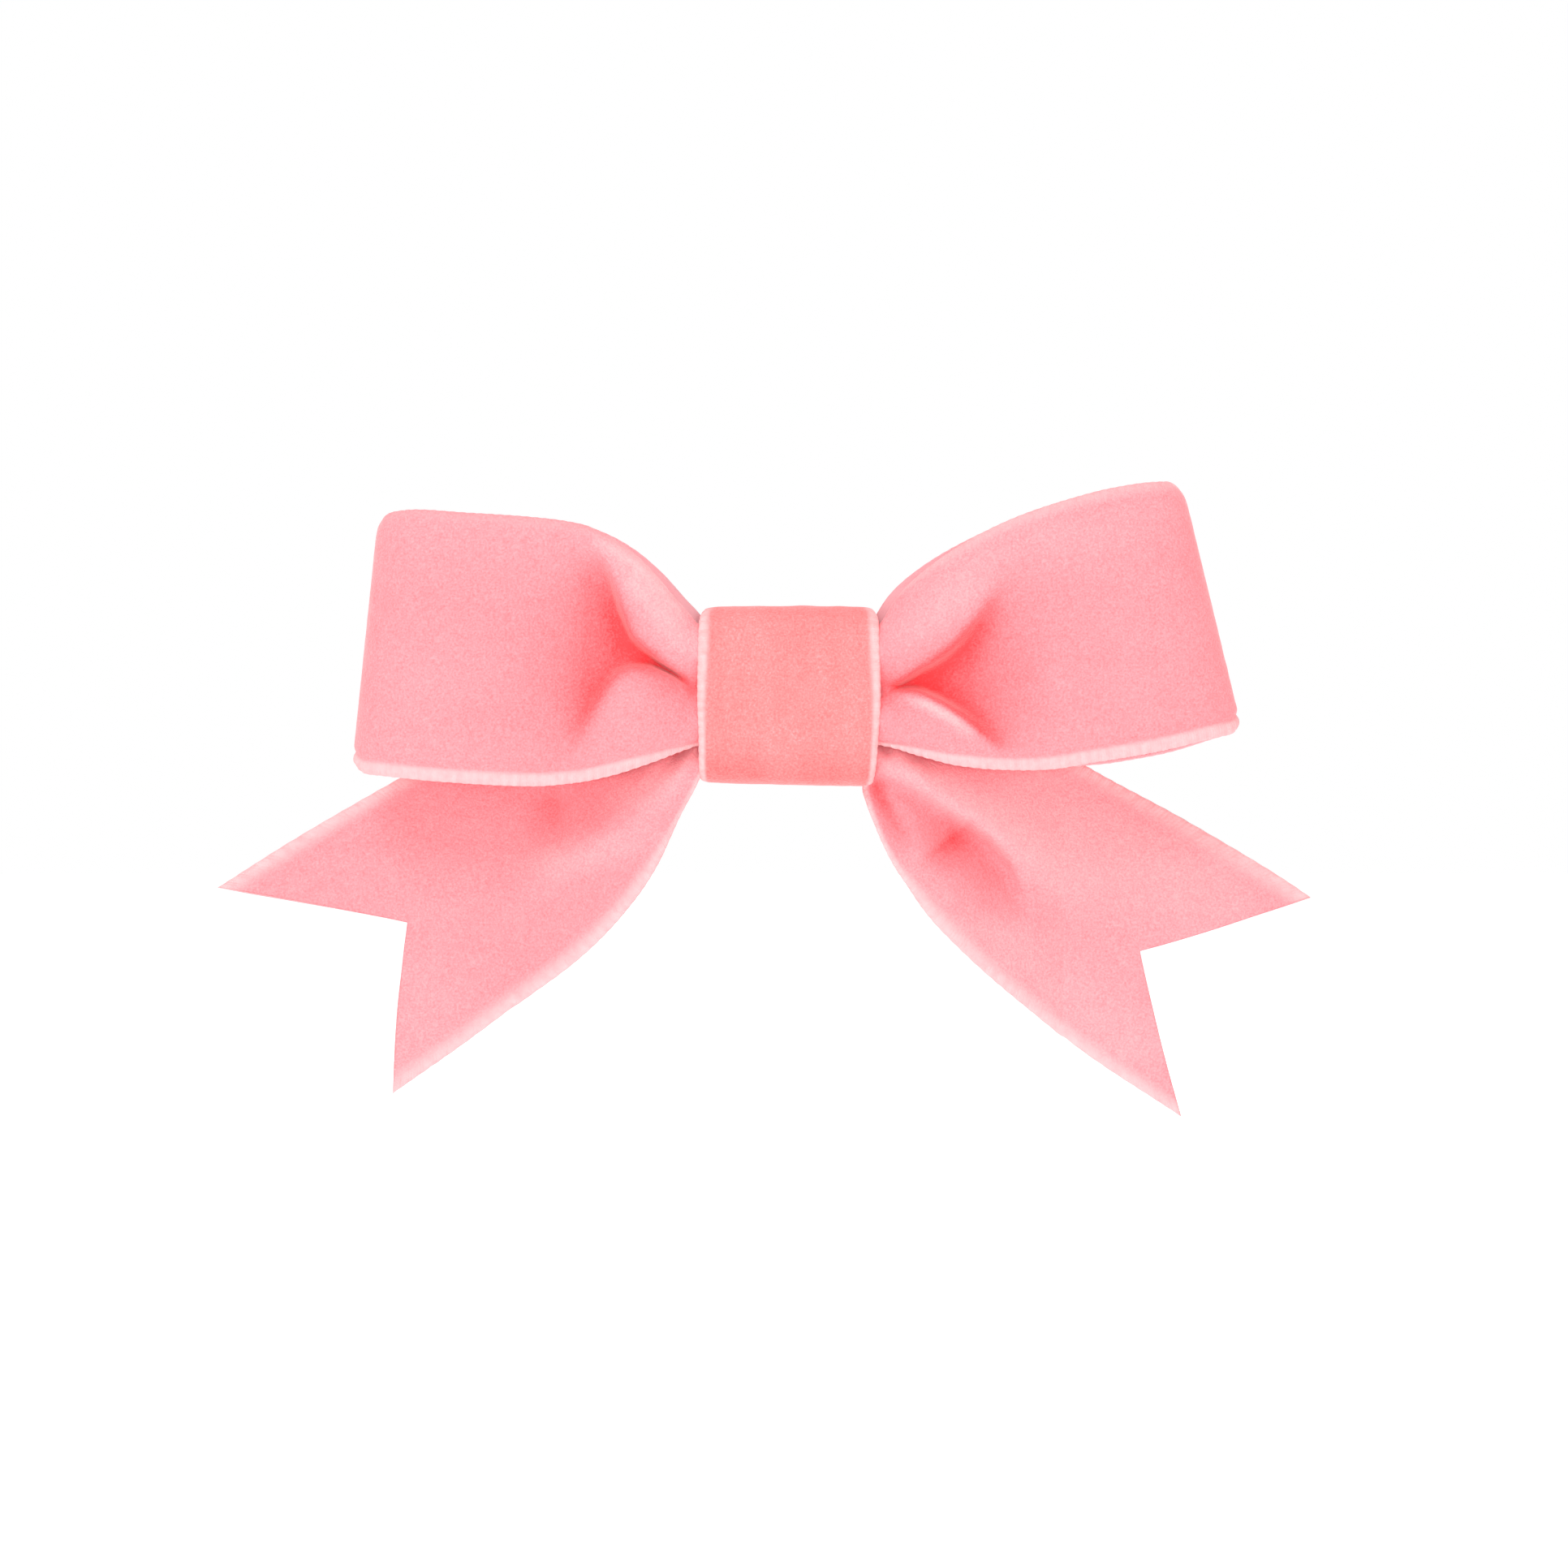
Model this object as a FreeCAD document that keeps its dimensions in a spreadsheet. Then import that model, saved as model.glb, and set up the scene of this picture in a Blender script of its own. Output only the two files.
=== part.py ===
import FreeCAD, Part
import math
import os
import Sketcher

# A hair barrette: a velvet ribbon bow on a spring clasp of stamped steel.
#
# The bow is three lengths of ribbon. loop_ribbon makes the two puffed loops, tail_ribbon lies behind it and
# ends in two swallow-tail points, and knot_band goes round both of them and round the clasp's base plate.
# The clasp is a curved base plate, an arm that turns on a pin at one end, a catch with two sprung prongs at
# the other end, and an arched tension bar between the plate and the arm that presses on the hair.
#
# X runs along the clasp, Z is up as the barrette is worn and -Y is the bow's front. The origin is the middle
# of the gap that holds the hair, between the crown of the tension bar and the arm. Millimetres and degrees.

SIZES = [
    # the clasp's curve: every stamped strip is an arc about one centre, behind the head's side
    ("plate_radius", 240.0, "radius of the base plate's head-side face"),
    ("plate_depth", 5.6, "from the origin forward to the base plate's head-side face"),
    ("arm_height", 8.0, "from the base plate's head-side face to the arm"),
    # base plate
    ("plate_half_length", 28.5, "from the middle to either end"),
    ("plate_width", 8.0, "across the strip"),
    ("plate_thickness", 0.7, "sheet thickness"),
    ("plate_end_radius", 2.4, "rounded corners at the catch end"),
    ("plate_hinge_corner", 0.5, "rounded corners at the hinge end"),
    ("sewing_hole_radius", 0.9, "holes for the tacking thread"),
    ("sewing_hole_reach", 14.0, "from the middle to a sewing hole"),
    ("tab_reach_angle", 4.3, "angle of the tabs that hold the tension bar's ends"),
    ("tab_half_length", 0.8, "along the plate"),
    ("tab_height", 1.6, "above the plate"),
    ("tab_room", 1.2, "height left under a tab's lip"),
    ("tab_outer", 3.35, "outer side of a tab"),
    ("tab_wall", 2.75, "inner side of a tab's wall"),
    ("tab_lip", 1.9, "inner end of a tab's lip"),
    # hinge
    ("hinge_angle", 6.2, "angle of the hinge pin along the curve"),
    ("pin_height", 3.6, "pin above the plate"),
    ("pin_radius", 0.7, "hinge pin"),
    ("pin_head_radius", 1.15, "riveted heads of the pin"),
    ("pin_head_thickness", 0.35, "riveted heads of the pin"),
    ("pin_clearance", 0.05, "between the pin and the arm's ears"),
    ("ear_thickness", 0.6, "ears of the plate and of the arm"),
    ("ear_radius", 1.6, "round end of an ear"),
    ("ear_foot", 2.6, "half length of an ear where it leaves its strip"),
    ("plate_ear_middle", 3.7, "middle of a plate ear's thickness"),
    ("arm_ear_middle", 2.9, "middle of an arm ear's thickness"),
    # arm
    ("arm_thickness", 0.8, "sheet thickness"),
    ("arm_width", 6.4, "across the strip"),
    ("arm_start_angle", 6.6, "hinge end of the strip"),
    ("arm_end_angle", 6.95, "catch end of the strip"),
    ("arm_bead_width", 1.8, "stiffening bead pressed along the strip"),
    ("arm_bead_height", 0.4, "stiffening bead"),
    ("arm_bead_start", 5.0, "angle of the bead's hinge end"),
    ("arm_bead_end", 4.6, "angle of the bead's catch end"),
    ("head_width", 10.4, "frame round the catch"),
    ("head_start_angle", 5.0, "near end of that frame"),
    ("head_corner", 1.6, "rounded corners of that frame"),
    ("window_half_length", 2.9, "window that the prongs come through"),
    ("window_half_width", 3.2, "window that the prongs come through"),
    ("lip_length", 1.5, "finger lip at the arm's end"),
    ("lip_rise", 0.9, "finger lip at the arm's end"),
    ("lip_width", 5.0, "finger lip at the arm's end"),
    # catch
    ("catch_angle", 5.9, "angle of the catch along the curve"),
    ("catch_length", 4.4, "along the clasp"),
    ("catch_half_width", 2.6, "outer faces of the prongs"),
    ("catch_thickness", 0.6, "spring sheet"),
    ("catch_bend_radius", 0.9, "outer radius of the channel's bends"),
    ("catch_stub_height", 1.6, "where the channel ends and a prong starts"),
    ("seat_clearance", 0.02, "between pieces that meet"),
    ("hook_height", 8.9, "under side of a prong's hook"),
    ("hook_reach", 3.6, "tip of a prong's hook"),
    ("hook_lip", 0.25, "height of the hook's tip"),
    ("ramp_height", 10.6, "top of the hook's ramp"),
    ("prong_height", 12.4, "top of a prong's finger pad"),
    ("pad_flare", 0.2, "how far a finger pad leans outward"),
    ("rivet_radius", 0.8, "catch rivet"),
    ("rivet_clearance", 0.08, "between the rivet and the plate, because the rivet leans with the curve"),
    ("rivet_head_radius", 1.3, "catch rivet"),
    ("rivet_head_height", 0.4, "catch rivet"),
    # tension bar, one strip cut at its crown
    ("bar_half_span", 19.0, "from the crown to either end"),
    ("bar_crown_depth", 2.575, "from the origin forward to the middle of the bar at its crown"),
    ("bar_sagitta", 1.95, "rise of the arch"),
    ("bar_half_thickness", 0.175, "spring sheet"),
    ("bar_width", 5.0, "across the strip"),
    # waist of the bow, inside the knot band
    ("waist_front", 15.2, "forward of the origin"),
    ("waist_middle", 9.3, "between the loop ribbon and the tail ribbon"),
    ("waist_back", 6.85, "back of the tail ribbon"),
    ("waist_half_height", 6.9, "gathered loop ribbon"),
    ("waist_back_half_height", 5.0, "gathered tail ribbon at its back"),
    ("waist_half_length", 7.0, "solid stretch of gathered ribbon"),
    ("waist_corner", 1.5, "rounded corners"),
    ("ribbon_gap", 0.1, "between the two gathered ribbons"),
    ("tail_neck_reach", 9.4, "where the tails start to swing back"),
    ("loop_neck_reach", 11.3, "where the loops start to swell"),
    # loops
    ("ribbon_thickness", 0.9, "velvet ribbon with its pile"),
    ("left_reach", 41.3, "left loop's fold, at the height of the origin"),
    ("right_reach", 43.0, "right loop's fold, at the height of the origin"),
    ("left_slant", 0.1, "left fold leans in by this much for each millimetre up"),
    ("right_slant", 0.25, "right fold leans in by this much for each millimetre up"),
    ("fold_radius", 4.6, "outside of the fold at a loop's end"),
    ("fold_depth", 12.1, "from the origin forward to the middle of a loop's end"),
    ("loop_front", 17.2, "front of a loop where it swells"),
    ("loop_back", 8.7, "back of a loop where it swells"),
    ("swell_reach", 15.0, "where a loop has swelled to its full depth"),
    ("hollow_start", 12.6, "where the hollow of a loop starts"),
    # tails
    ("tail_reach", 57.0, "past the longest tail"),
    ("tail_bend_reach", 28.0, "where the tails leave the clasp behind"),
    ("tail_front_neck", 8.1, "front of a tail where it leaves the waist"),
    ("tail_front_bend", 6.9, "front of a tail at its bend"),
    ("tail_front_end", 6.4, "front of a tail at its end"),
    # knot band
    ("band_half_width", 9.1, "half the ribbon's width"),
    ("band_thickness", 0.9, "velvet ribbon with its pile"),
    ("band_front", 16.6, "outer face, forward of the origin"),
    ("band_half_height", 8.65, "outer face"),
    ("band_corner", 2.4, "outer radius of the front corners"),
    ("band_shoulder", 7.7, "where the band starts to narrow towards the plate"),
    ("band_back", 4.45, "outer face behind the plate"),
    ("band_back_half_height", 5.0, "outer face behind the plate"),
    # thread and glue
    ("thread_radius", 0.2, "both threads"),
    ("thread_clearance", 0.06, "between the gathering thread and the ribbon"),
    ("thread_pitch", 0.45, "between two wraps"),
    ("thread_wraps", 5, "wraps of gathering thread"),
    ("stitch_front", 8.3, "front of a tacking stitch"),
    ("stitch_back", 4.95, "back of a tacking stitch"),
    ("stitch_drop", 4.45, "height of a tacking stitch"),
    ("stitch_corner", 0.5, "corners of a tacking stitch"),
    ("glue_inner", 2.5, "glue pad between the bow and the plate"),
    ("glue_outer", 8.0, "glue pad between the bow and the plate"),
    ("glue_half_height", 3.2, "glue pad between the bow and the plate"),
    ("glue_back", 6.3, "back of the glue pad"),
]

# Fronts of the bow, as (x, z) corners seen from the front. A third number is the radius of the arc that
# leads to the next corner, positive where the arc bulges to the right of its way round.
LEFT_LOOP_FRONT = [
    (-4.0, 6.9), (-9.3, 6.9), (-9.4, 8.0, 17.0), (-22.0, 17.2), (-47.0, 18.6),
    (-47.0, -7.3), (-22.5, -9.0), (-9.3, -6.0), (-4.0, -6.0),
]
RIGHT_LOOP_FRONT = [
    (4.0, 6.9), (4.0, -5.6), (9.3, -5.6), (20.5, -7.5), (29.2, -6.8),
    (48.0, -2.3), (48.0, 22.6), (38.0, 20.9, 90.0), (23.0, 17.9, 24.0), (9.4, 8.4), (9.3, 6.9),
]
TAILS_FRONT = [
    (-9.2, 4.9), (-20.0, 2.6), (-38.3, -8.3), (-55.7, -18.7), (-37.4, -22.2),
    (-38.7, -38.8), (-22.4, -27.2, 24.0), (-9.6, -8.6), (-9.2, -4.9), (9.2, -4.9),
    (9.5, -8.6, 30.0), (19.7, -27.2), (38.2, -41.0), (34.2, -25.6), (50.9, -19.8),
    (28.4, -7.0), (16.0, 0.1), (9.2, 4.9),
]
FRONT_PAD_LENGTH = 60.0
STRIP_PAD_LENGTH = 100.0

doc = FreeCAD.newDocument("barrette")
nodes = []


class Size:
    """A length or an angle that remembers the spreadsheet expression it comes from."""

    def __init__(self, value, text=None):
        self.value = float(value)
        self.text = repr(float(value)) if text is None else text

    def __add__(self, other):
        other = as_size(other)
        return Size(self.value + other.value, f"({self.text} + {other.text})")

    def __sub__(self, other):
        other = as_size(other)
        return Size(self.value - other.value, f"({self.text} - {other.text})")

    def __mul__(self, other):
        other = as_size(other)
        return Size(self.value * other.value, f"({self.text} * {other.text})")

    def __truediv__(self, other):
        other = as_size(other)
        return Size(self.value / other.value, f"({self.text} / {other.text})")

    def __neg__(self):
        return Size(-self.value, f"(-{self.text})")

    __radd__ = __add__
    __rmul__ = __mul__


def as_size(value):
    return value if isinstance(value, Size) else Size(value)


def root(size):
    return Size(math.sqrt(size.value), f"sqrt({size.text})")


def sine(angle):
    return Size(math.sin(math.radians(angle.value)), f"sin({angle.text})")


def cosine(angle):
    return Size(math.cos(math.radians(angle.value)), f"cos({angle.text})")


def make_sheet():
    """The spreadsheet of driving dimensions; returns each one as a Size under its alias."""
    sheet = doc.addObject("Spreadsheet::Sheet", "sizes")
    sizes = {}
    for row, (alias, value, note) in enumerate(SIZES, 1):
        sheet.set(f"A{row}", str(value))
        sheet.setAlias(f"A{row}", alias)
        sheet.set(f"B{row}", note)
        sizes[alias] = Size(value, f"sizes.{alias}")
    doc.recompute()
    return sizes


S = make_sheet()
CURVE_CENTRE_Y = S["plate_radius"] - S["plate_depth"]


def on_plate(angle, height, along=0.0):
    """The (x, y) of a point that stands height above the plate at an angle along the curve."""
    reach = S["plate_radius"] - height
    x = reach * sine(angle) + cosine(angle) * along
    y = CURVE_CENTRE_Y - reach * cosine(angle) + sine(angle) * along
    return x, y


def on_arc_at(x, radius):
    """The point with that x on an arc about the curve's centre."""
    return x, CURVE_CENTRE_Y - root(radius * radius - x * x)


def new_body(label, keep=True):
    body = doc.addObject("PartDesign::Body", label)
    body.Label = label
    body.AllowCompound = True
    if keep:
        nodes.append(body)
    return body


def bind(thing, name, size):
    """Sets a property to a size through an expression."""
    size = as_size(size)
    thing.setExpression(name, size.text)


def new_sketch(body, plane, offset=None):
    """A sketch on one of the body's own planes, moved along the plane's normal by offset."""
    sketch = body.newObject("Sketcher::SketchObject", "sketch")
    found = [f for f in body.Origin.OriginFeatures if f.Role == plane + "_Plane"]
    sketch.AttachmentSupport = [(found[0], "")]
    sketch.MapMode = "FlatFace"
    if offset is not None:
        bind(sketch, "AttachmentOffset.Base.z", offset)
    return sketch


def place_point(sketch, geometry, end, x, y):
    """Holds one point of a sketch at (x, y)."""
    for kind, size in (("DistanceX", x), ("DistanceY", y)):
        number = sketch.addConstraint(Sketcher.Constraint(kind, -1, 1, geometry, end, size.value))
        sketch.setExpression(f"Constraints[{number}]", size.text)


def arc_between(start, end, radius):
    """The arc of under half a turn from start to end; it bulges right of that way if radius is positive."""
    chord = end - start
    half = chord.Length / 2
    left = FreeCAD.Vector(-chord.y, chord.x, 0).normalize()
    sign = 1 if radius > 0 else -1
    rise = math.sqrt(radius * radius - half * half)
    centre = (start + end) / 2 + left * (sign * rise)
    middle = centre - left * (sign * abs(radius))
    return Part.Arc(start, middle, end)


def draw_outline(sketch, points):
    """A closed outline through (x, y) points; a third value is the radius of the arc to the next one."""
    points = [tuple(as_size(v) for v in point) for point in points]
    places = [FreeCAD.Vector(p[0].value, p[1].value, 0) for p in points]
    first = sketch.GeometryCount
    count = len(points)
    arcs = []
    for i, point in enumerate(points):
        start, end = places[i], places[(i + 1) % count]
        if len(point) == 3:
            sketch.addGeometry(arc_between(start, end, point[2].value), False)
            arcs.append((first + i, point[2]))
        else:
            sketch.addGeometry(Part.LineSegment(start, end), False)
    ends = [start_and_end(sketch, first + i, places[i]) for i in range(count)]
    for i in range(count):
        after = (i + 1) % count
        sketch.addConstraint(
            Sketcher.Constraint("Coincident", first + i, ends[i][1], first + after, ends[after][0])
        )
        place_point(sketch, first + i, ends[i][0], points[i][0], points[i][1])
    for number, radius in arcs:
        size = radius if radius.value > 0 else -radius
        held = sketch.addConstraint(Sketcher.Constraint("Radius", number, size.value))
        sketch.setExpression(f"Constraints[{held}]", size.text)


def start_and_end(sketch, number, place):
    """Which ends of a side come first and last on the way round; a sketch keeps arcs anticlockwise."""
    at_start = sketch.getPoint(number, 1).distanceToPoint(place) < 1e-6
    return (1, 2) if at_start else (2, 1)


def draw_circle(sketch, x, y, radius):
    x, y, radius = as_size(x), as_size(y), as_size(radius)
    circle = Part.Circle(FreeCAD.Vector(x.value, y.value, 0), FreeCAD.Vector(0, 0, 1), radius.value)
    number = sketch.addGeometry(circle, False)
    place_point(sketch, number, 3, x, y)
    held = sketch.addConstraint(Sketcher.Constraint("Radius", number, radius.value))
    sketch.setExpression(f"Constraints[{held}]", radius.text)


def extrude(body, kind, sketch, length):
    """A pad or pocket of that whole length, half of it each side of the sketch."""
    before = body.Shape.Volume if body.Tip else 0.0
    feature = body.newObject("PartDesign::" + kind, kind.lower())
    feature.Profile = sketch
    feature.SideType = "Symmetric"
    bind(feature, "Length", length)
    doc.recompute()
    changed = body.Shape.Volume - before
    if changed == 0 or (changed > 0) != (kind == "Pad"):
        raise RuntimeError(f"{body.Label}: a {kind} changed its volume by {changed}")
    return feature


def pad(body, plane, points, length, offset=None):
    sketch = new_sketch(body, plane, offset)
    draw_outline(sketch, points)
    return extrude(body, "Pad", sketch, length)


def pocket(body, plane, points, length, offset=None):
    sketch = new_sketch(body, plane, offset)
    draw_outline(sketch, points)
    return extrude(body, "Pocket", sketch, length)


def drill(body, plane, x, y, radius, length):
    sketch = new_sketch(body, plane)
    draw_circle(sketch, x, y, radius)
    return extrude(body, "Pocket", sketch, length)


def fillet(body, chosen, radius):
    """Rounds the edges of the body for which chosen(edge) is true."""
    base = body.Tip
    names = [f"Edge{i}" for i, edge in enumerate(base.Shape.Edges, 1) if chosen(edge)]
    if not names:
        raise RuntimeError(f"{body.Label}: no edge to round")
    feature = body.newObject("PartDesign::Fillet", "fillet")
    feature.Base = (base, names)
    bind(feature, "Radius", radius)
    doc.recompute()


def mirror(body, plane, originals):
    feature = body.newObject("PartDesign::Mirrored", "mirrored")
    feature.Originals = originals
    found = [f for f in body.Origin.OriginFeatures if f.Role == plane + "_Plane"]
    feature.MirrorPlane = (found[0], [""])
    body.Tip = feature
    doc.recompute()


def turn_along_curve(body, angle):
    """Moves a body that was drawn at the curve's middle along the curve by that angle."""
    body.Placement = FreeCAD.Placement(
        FreeCAD.Vector(), FreeCAD.Rotation(FreeCAD.Vector(0, 0, 1), angle.value)
    )
    bind(body, "Placement.Rotation.Angle", angle)
    bind(body, "Placement.Base.x", CURVE_CENTRE_Y * sine(angle))
    bind(body, "Placement.Base.y", CURVE_CENTRE_Y - CURVE_CENTRE_Y * cosine(angle))


def curved_strip(start_angle, end_angle, low, high):
    """The side outline of a strip that follows the curve, from height low to height high."""
    outer, inner = S["plate_radius"] - low, S["plate_radius"] - high
    return [
        (*on_plate(start_angle, low), outer),
        on_plate(end_angle, low),
        (*on_plate(end_angle, high), -inner),
        on_plate(start_angle, high),
    ]


def ear_outline(foot_height):
    """The side outline of an ear: a round end about the pin, widening towards the strip at foot_height."""
    angle, height, radius = -S["hinge_angle"], S["pin_height"], S["ear_radius"]
    up = 1 if foot_height.value > height.value else -1
    tip = height - radius * up
    return [
        (*on_plate(angle, height, radius), radius * -up),
        (*on_plate(angle, tip), radius * -up),
        on_plate(angle, height, -radius),
        on_plate(angle, foot_height, -radius),
        on_plate(angle, foot_height, S["ear_foot"]),
    ]


def along_y(edge):
    """True for a straight edge that runs through the sheet's thickness."""
    if edge.Curve.TypeId != "Part::GeomLine":
        return False
    way = edge.Vertexes[1].Point - edge.Vertexes[0].Point
    return abs(way.z) < 1e-6 and abs(way.y) > 0.9 * way.Length


def make_base_plate():
    body = new_body("base_plate")
    half, inner = S["plate_half_length"], S["plate_radius"]
    outer = inner + S["plate_thickness"]
    strip = [
        (*on_arc_at(-half, outer), outer),
        on_arc_at(half, outer),
        (*on_arc_at(half, inner), -inner),
        on_arc_at(-half, inner),
    ]
    pad(body, "XY", strip, S["plate_width"])
    edge_z = S["plate_width"].value / 2 - 0.01
    for side, radius in ((1, S["plate_end_radius"]), (-1, S["plate_hinge_corner"])):
        end_x = side * (half.value - 0.01)
        fillet(
            body,
            lambda e: along_y(e) and e.CenterOfMass.x * side > end_x * side
            and abs(e.CenterOfMass.z) > edge_z,
            radius,
        )
    for side in (1, -1):
        pad(body, "XY", ear_outline(-S["plate_thickness"] / 2), S["ear_thickness"],
            S["plate_ear_middle"] * side)
    pin = on_plate(-S["hinge_angle"], S["pin_height"])
    drill(body, "XY", *pin, S["pin_radius"], S["plate_width"] * 2)
    for side in (1, -1):
        drill(body, "XZ", S["sewing_hole_reach"] * side, 0.0, S["sewing_hole_radius"],
              S["plate_depth"] * 4)
    for side in (1, -1):
        add_bar_tabs(body, S["tab_reach_angle"] * side)
    rivet_x = on_plate(S["catch_angle"], -S["plate_thickness"] / 2)[0]
    drill(body, "XZ", rivet_x, 0.0, S["rivet_radius"] + S["rivet_clearance"], S["plate_depth"] * 4)
    return body


def add_bar_tabs(body, angle):
    """The pair of tabs that hold one end of the tension bar: a wall each side, with a lip over the bar."""
    half, foot = S["tab_half_length"], -S["plate_thickness"] / 2
    room, top, air = S["tab_room"], S["tab_height"], S["tab_height"] + S["tab_half_length"]
    above_plate = Size(0.02)

    def block(low, high, reach):
        return [
            on_plate(angle, low, -reach),
            on_plate(angle, low, reach),
            on_plate(angle, high, reach),
            on_plate(angle, high, -reach),
        ]

    pad(body, "XY", block(foot, top, half), S["tab_outer"] * 2)
    pocket(body, "XY", block(above_plate, room, half * 2), S["tab_wall"] * 2)
    pocket(body, "XY", block(room / 2, air, half * 2), S["tab_lip"] * 2)


def make_clasp_arm():
    body = new_body("clasp_arm")
    low = S["arm_height"]
    high = low + S["arm_thickness"]
    start, end = -S["arm_start_angle"], S["arm_end_angle"]
    pad(body, "XY", curved_strip(start, end, low, high), S["arm_width"])
    pad(body, "XY", curved_strip(S["head_start_angle"], end, low, high), S["head_width"])
    corner_z = S["head_width"].value / 2 - 0.01
    fillet(body, lambda e: along_y(e) and abs(e.CenterOfMass.z) > corner_z, S["head_corner"])
    bead = curved_strip(-S["arm_bead_start"], S["arm_bead_end"], low + S["arm_thickness"] / 2,
                        high + S["arm_bead_height"])
    pad(body, "XY", bead, S["arm_bead_width"])
    lip = [
        on_plate(end, low, -0.4),
        on_plate(end, low + S["lip_rise"], S["lip_length"]),
        on_plate(end, high + S["lip_rise"], S["lip_length"]),
        on_plate(end, high, -0.4),
    ]
    pad(body, "XY", lip, S["lip_width"])
    for side in (1, -1):
        pad(body, "XY", ear_outline(low + S["arm_thickness"] / 2), S["ear_thickness"],
            S["arm_ear_middle"] * side)
    pin = on_plate(-S["hinge_angle"], S["pin_height"])
    drill(body, "XY", *pin, S["pin_radius"] + S["pin_clearance"], S["plate_width"] * 2)
    catch, reach = S["catch_angle"], S["window_half_length"]
    window = [
        on_plate(catch, low - 1.0, -reach),
        on_plate(catch, low - 1.0, reach),
        on_plate(catch, high + 1.0, reach),
        on_plate(catch, high + 1.0, -reach),
    ]
    pocket(body, "XY", window, S["window_half_width"] * 2)
    return body


def make_hinge_pin():
    body = new_body("hinge_pin")
    pin = on_plate(-S["hinge_angle"], S["pin_height"])
    shank = new_sketch(body, "XY")
    draw_circle(shank, *pin, S["pin_radius"])
    extrude(body, "Pad", shank, S["plate_width"])
    for side in (1, -1):
        head = new_sketch(body, "XY", (S["plate_width"] + S["pin_head_thickness"]) / 2 * side)
        draw_circle(head, *pin, S["pin_head_radius"])
        extrude(body, "Pad", head, S["pin_head_thickness"])
    return body


def make_catch_base():
    """The catch's channel: a flat foot on the plate, with a bend and a short stub each side."""
    body = new_body("catch_base")
    half, sheet, bend = S["catch_half_width"], S["catch_thickness"], S["catch_bend_radius"]
    foot = S["seat_clearance"] - S["plate_depth"]
    top = S["catch_stub_height"] - S["plate_depth"]
    inner = bend - sheet
    channel = [
        (foot, half - bend, bend),
        (foot + bend, half),
        (top, half),
        (top, half - sheet),
        (foot + bend, half - sheet, -inner),
        (foot + sheet, half - bend),
        (foot + sheet, bend - half, -inner),
        (foot + bend, sheet - half),
        (top, sheet - half),
        (top, -half),
        (foot + bend, -half, bend),
        (foot, bend - half),
    ]
    pad(body, "YZ", reversed_way(channel), S["catch_length"])
    drill(body, "XZ", 0.0, 0.0, S["rivet_radius"], S["plate_depth"] * 4)
    turn_along_curve(body, S["catch_angle"])
    return body


def reversed_way(points):
    """The same outline the other way round, with its arcs bulging to the same side."""
    turned = []
    for i in range(len(points)):
        here, before = points[-i % len(points)], points[(-i - 1) % len(points)]
        turned.append((here[0], here[1], -before[2]) if len(before) == 3 else (here[0], here[1]))
    return turned


def make_catch_prong(label, side):
    """A sprung prong: round foot, straight leg, hook with a ramp, and a finger pad."""
    body = new_body(label)
    outer, sheet = S["catch_half_width"], S["catch_thickness"]
    nose = sheet / 2
    inner, middle = outer - sheet, outer - nose
    ground = -S["plate_depth"]
    foot = ground + S["catch_stub_height"] + S["seat_clearance"]
    outline = [
        (foot + nose, inner, nose),
        (foot, middle, nose),
        (foot + nose, outer),
        (ground + S["hook_height"], outer),
        (ground + S["hook_height"], S["hook_reach"]),
        (ground + S["hook_height"] + S["hook_lip"], S["hook_reach"]),
        (ground + S["ramp_height"], outer + S["pad_flare"] / 2),
        (ground + S["prong_height"], outer + S["pad_flare"]),
        (ground + S["prong_height"], inner + S["pad_flare"]),
        (ground + S["ramp_height"], inner),
    ]
    if side < 0:
        outline = [(point[0], -point[1], *[-r for r in point[2:]]) for point in outline]
    signed = [(*point[:2], *[-r for r in point[2:]]) for point in outline]
    pad(body, "YZ", signed, S["catch_length"])
    turn_along_curve(body, S["catch_angle"])
    return body


def make_catch_rivet():
    """The rivet that holds the catch to the plate, with a low domed head each side."""
    body = new_body("catch_rivet")
    radius, head, dome = S["rivet_radius"], S["rivet_head_radius"], S["rivet_head_height"]
    outside = -(S["plate_depth"] + S["plate_thickness"])
    inside = S["catch_thickness"] + S["seat_clearance"] - S["plate_depth"]
    rim = dome / 2
    sketch = new_sketch(body, "XY")
    draw_outline(sketch, [
        (0.0, outside - dome),
        (radius, outside - dome),
        (head, outside - rim),
        (head, outside),
        (radius, outside),
        (radius, inside),
        (head, inside),
        (head, inside + rim),
        (radius, inside + dome),
        (0.0, inside + dome),
    ])
    feature = body.newObject("PartDesign::Revolution", "revolution")
    feature.Profile = sketch
    feature.ReferenceAxis = (sketch, ["V_Axis"])
    feature.Angle = 360
    doc.recompute()
    turn_along_curve(body, S["catch_angle"])
    return body


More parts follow.
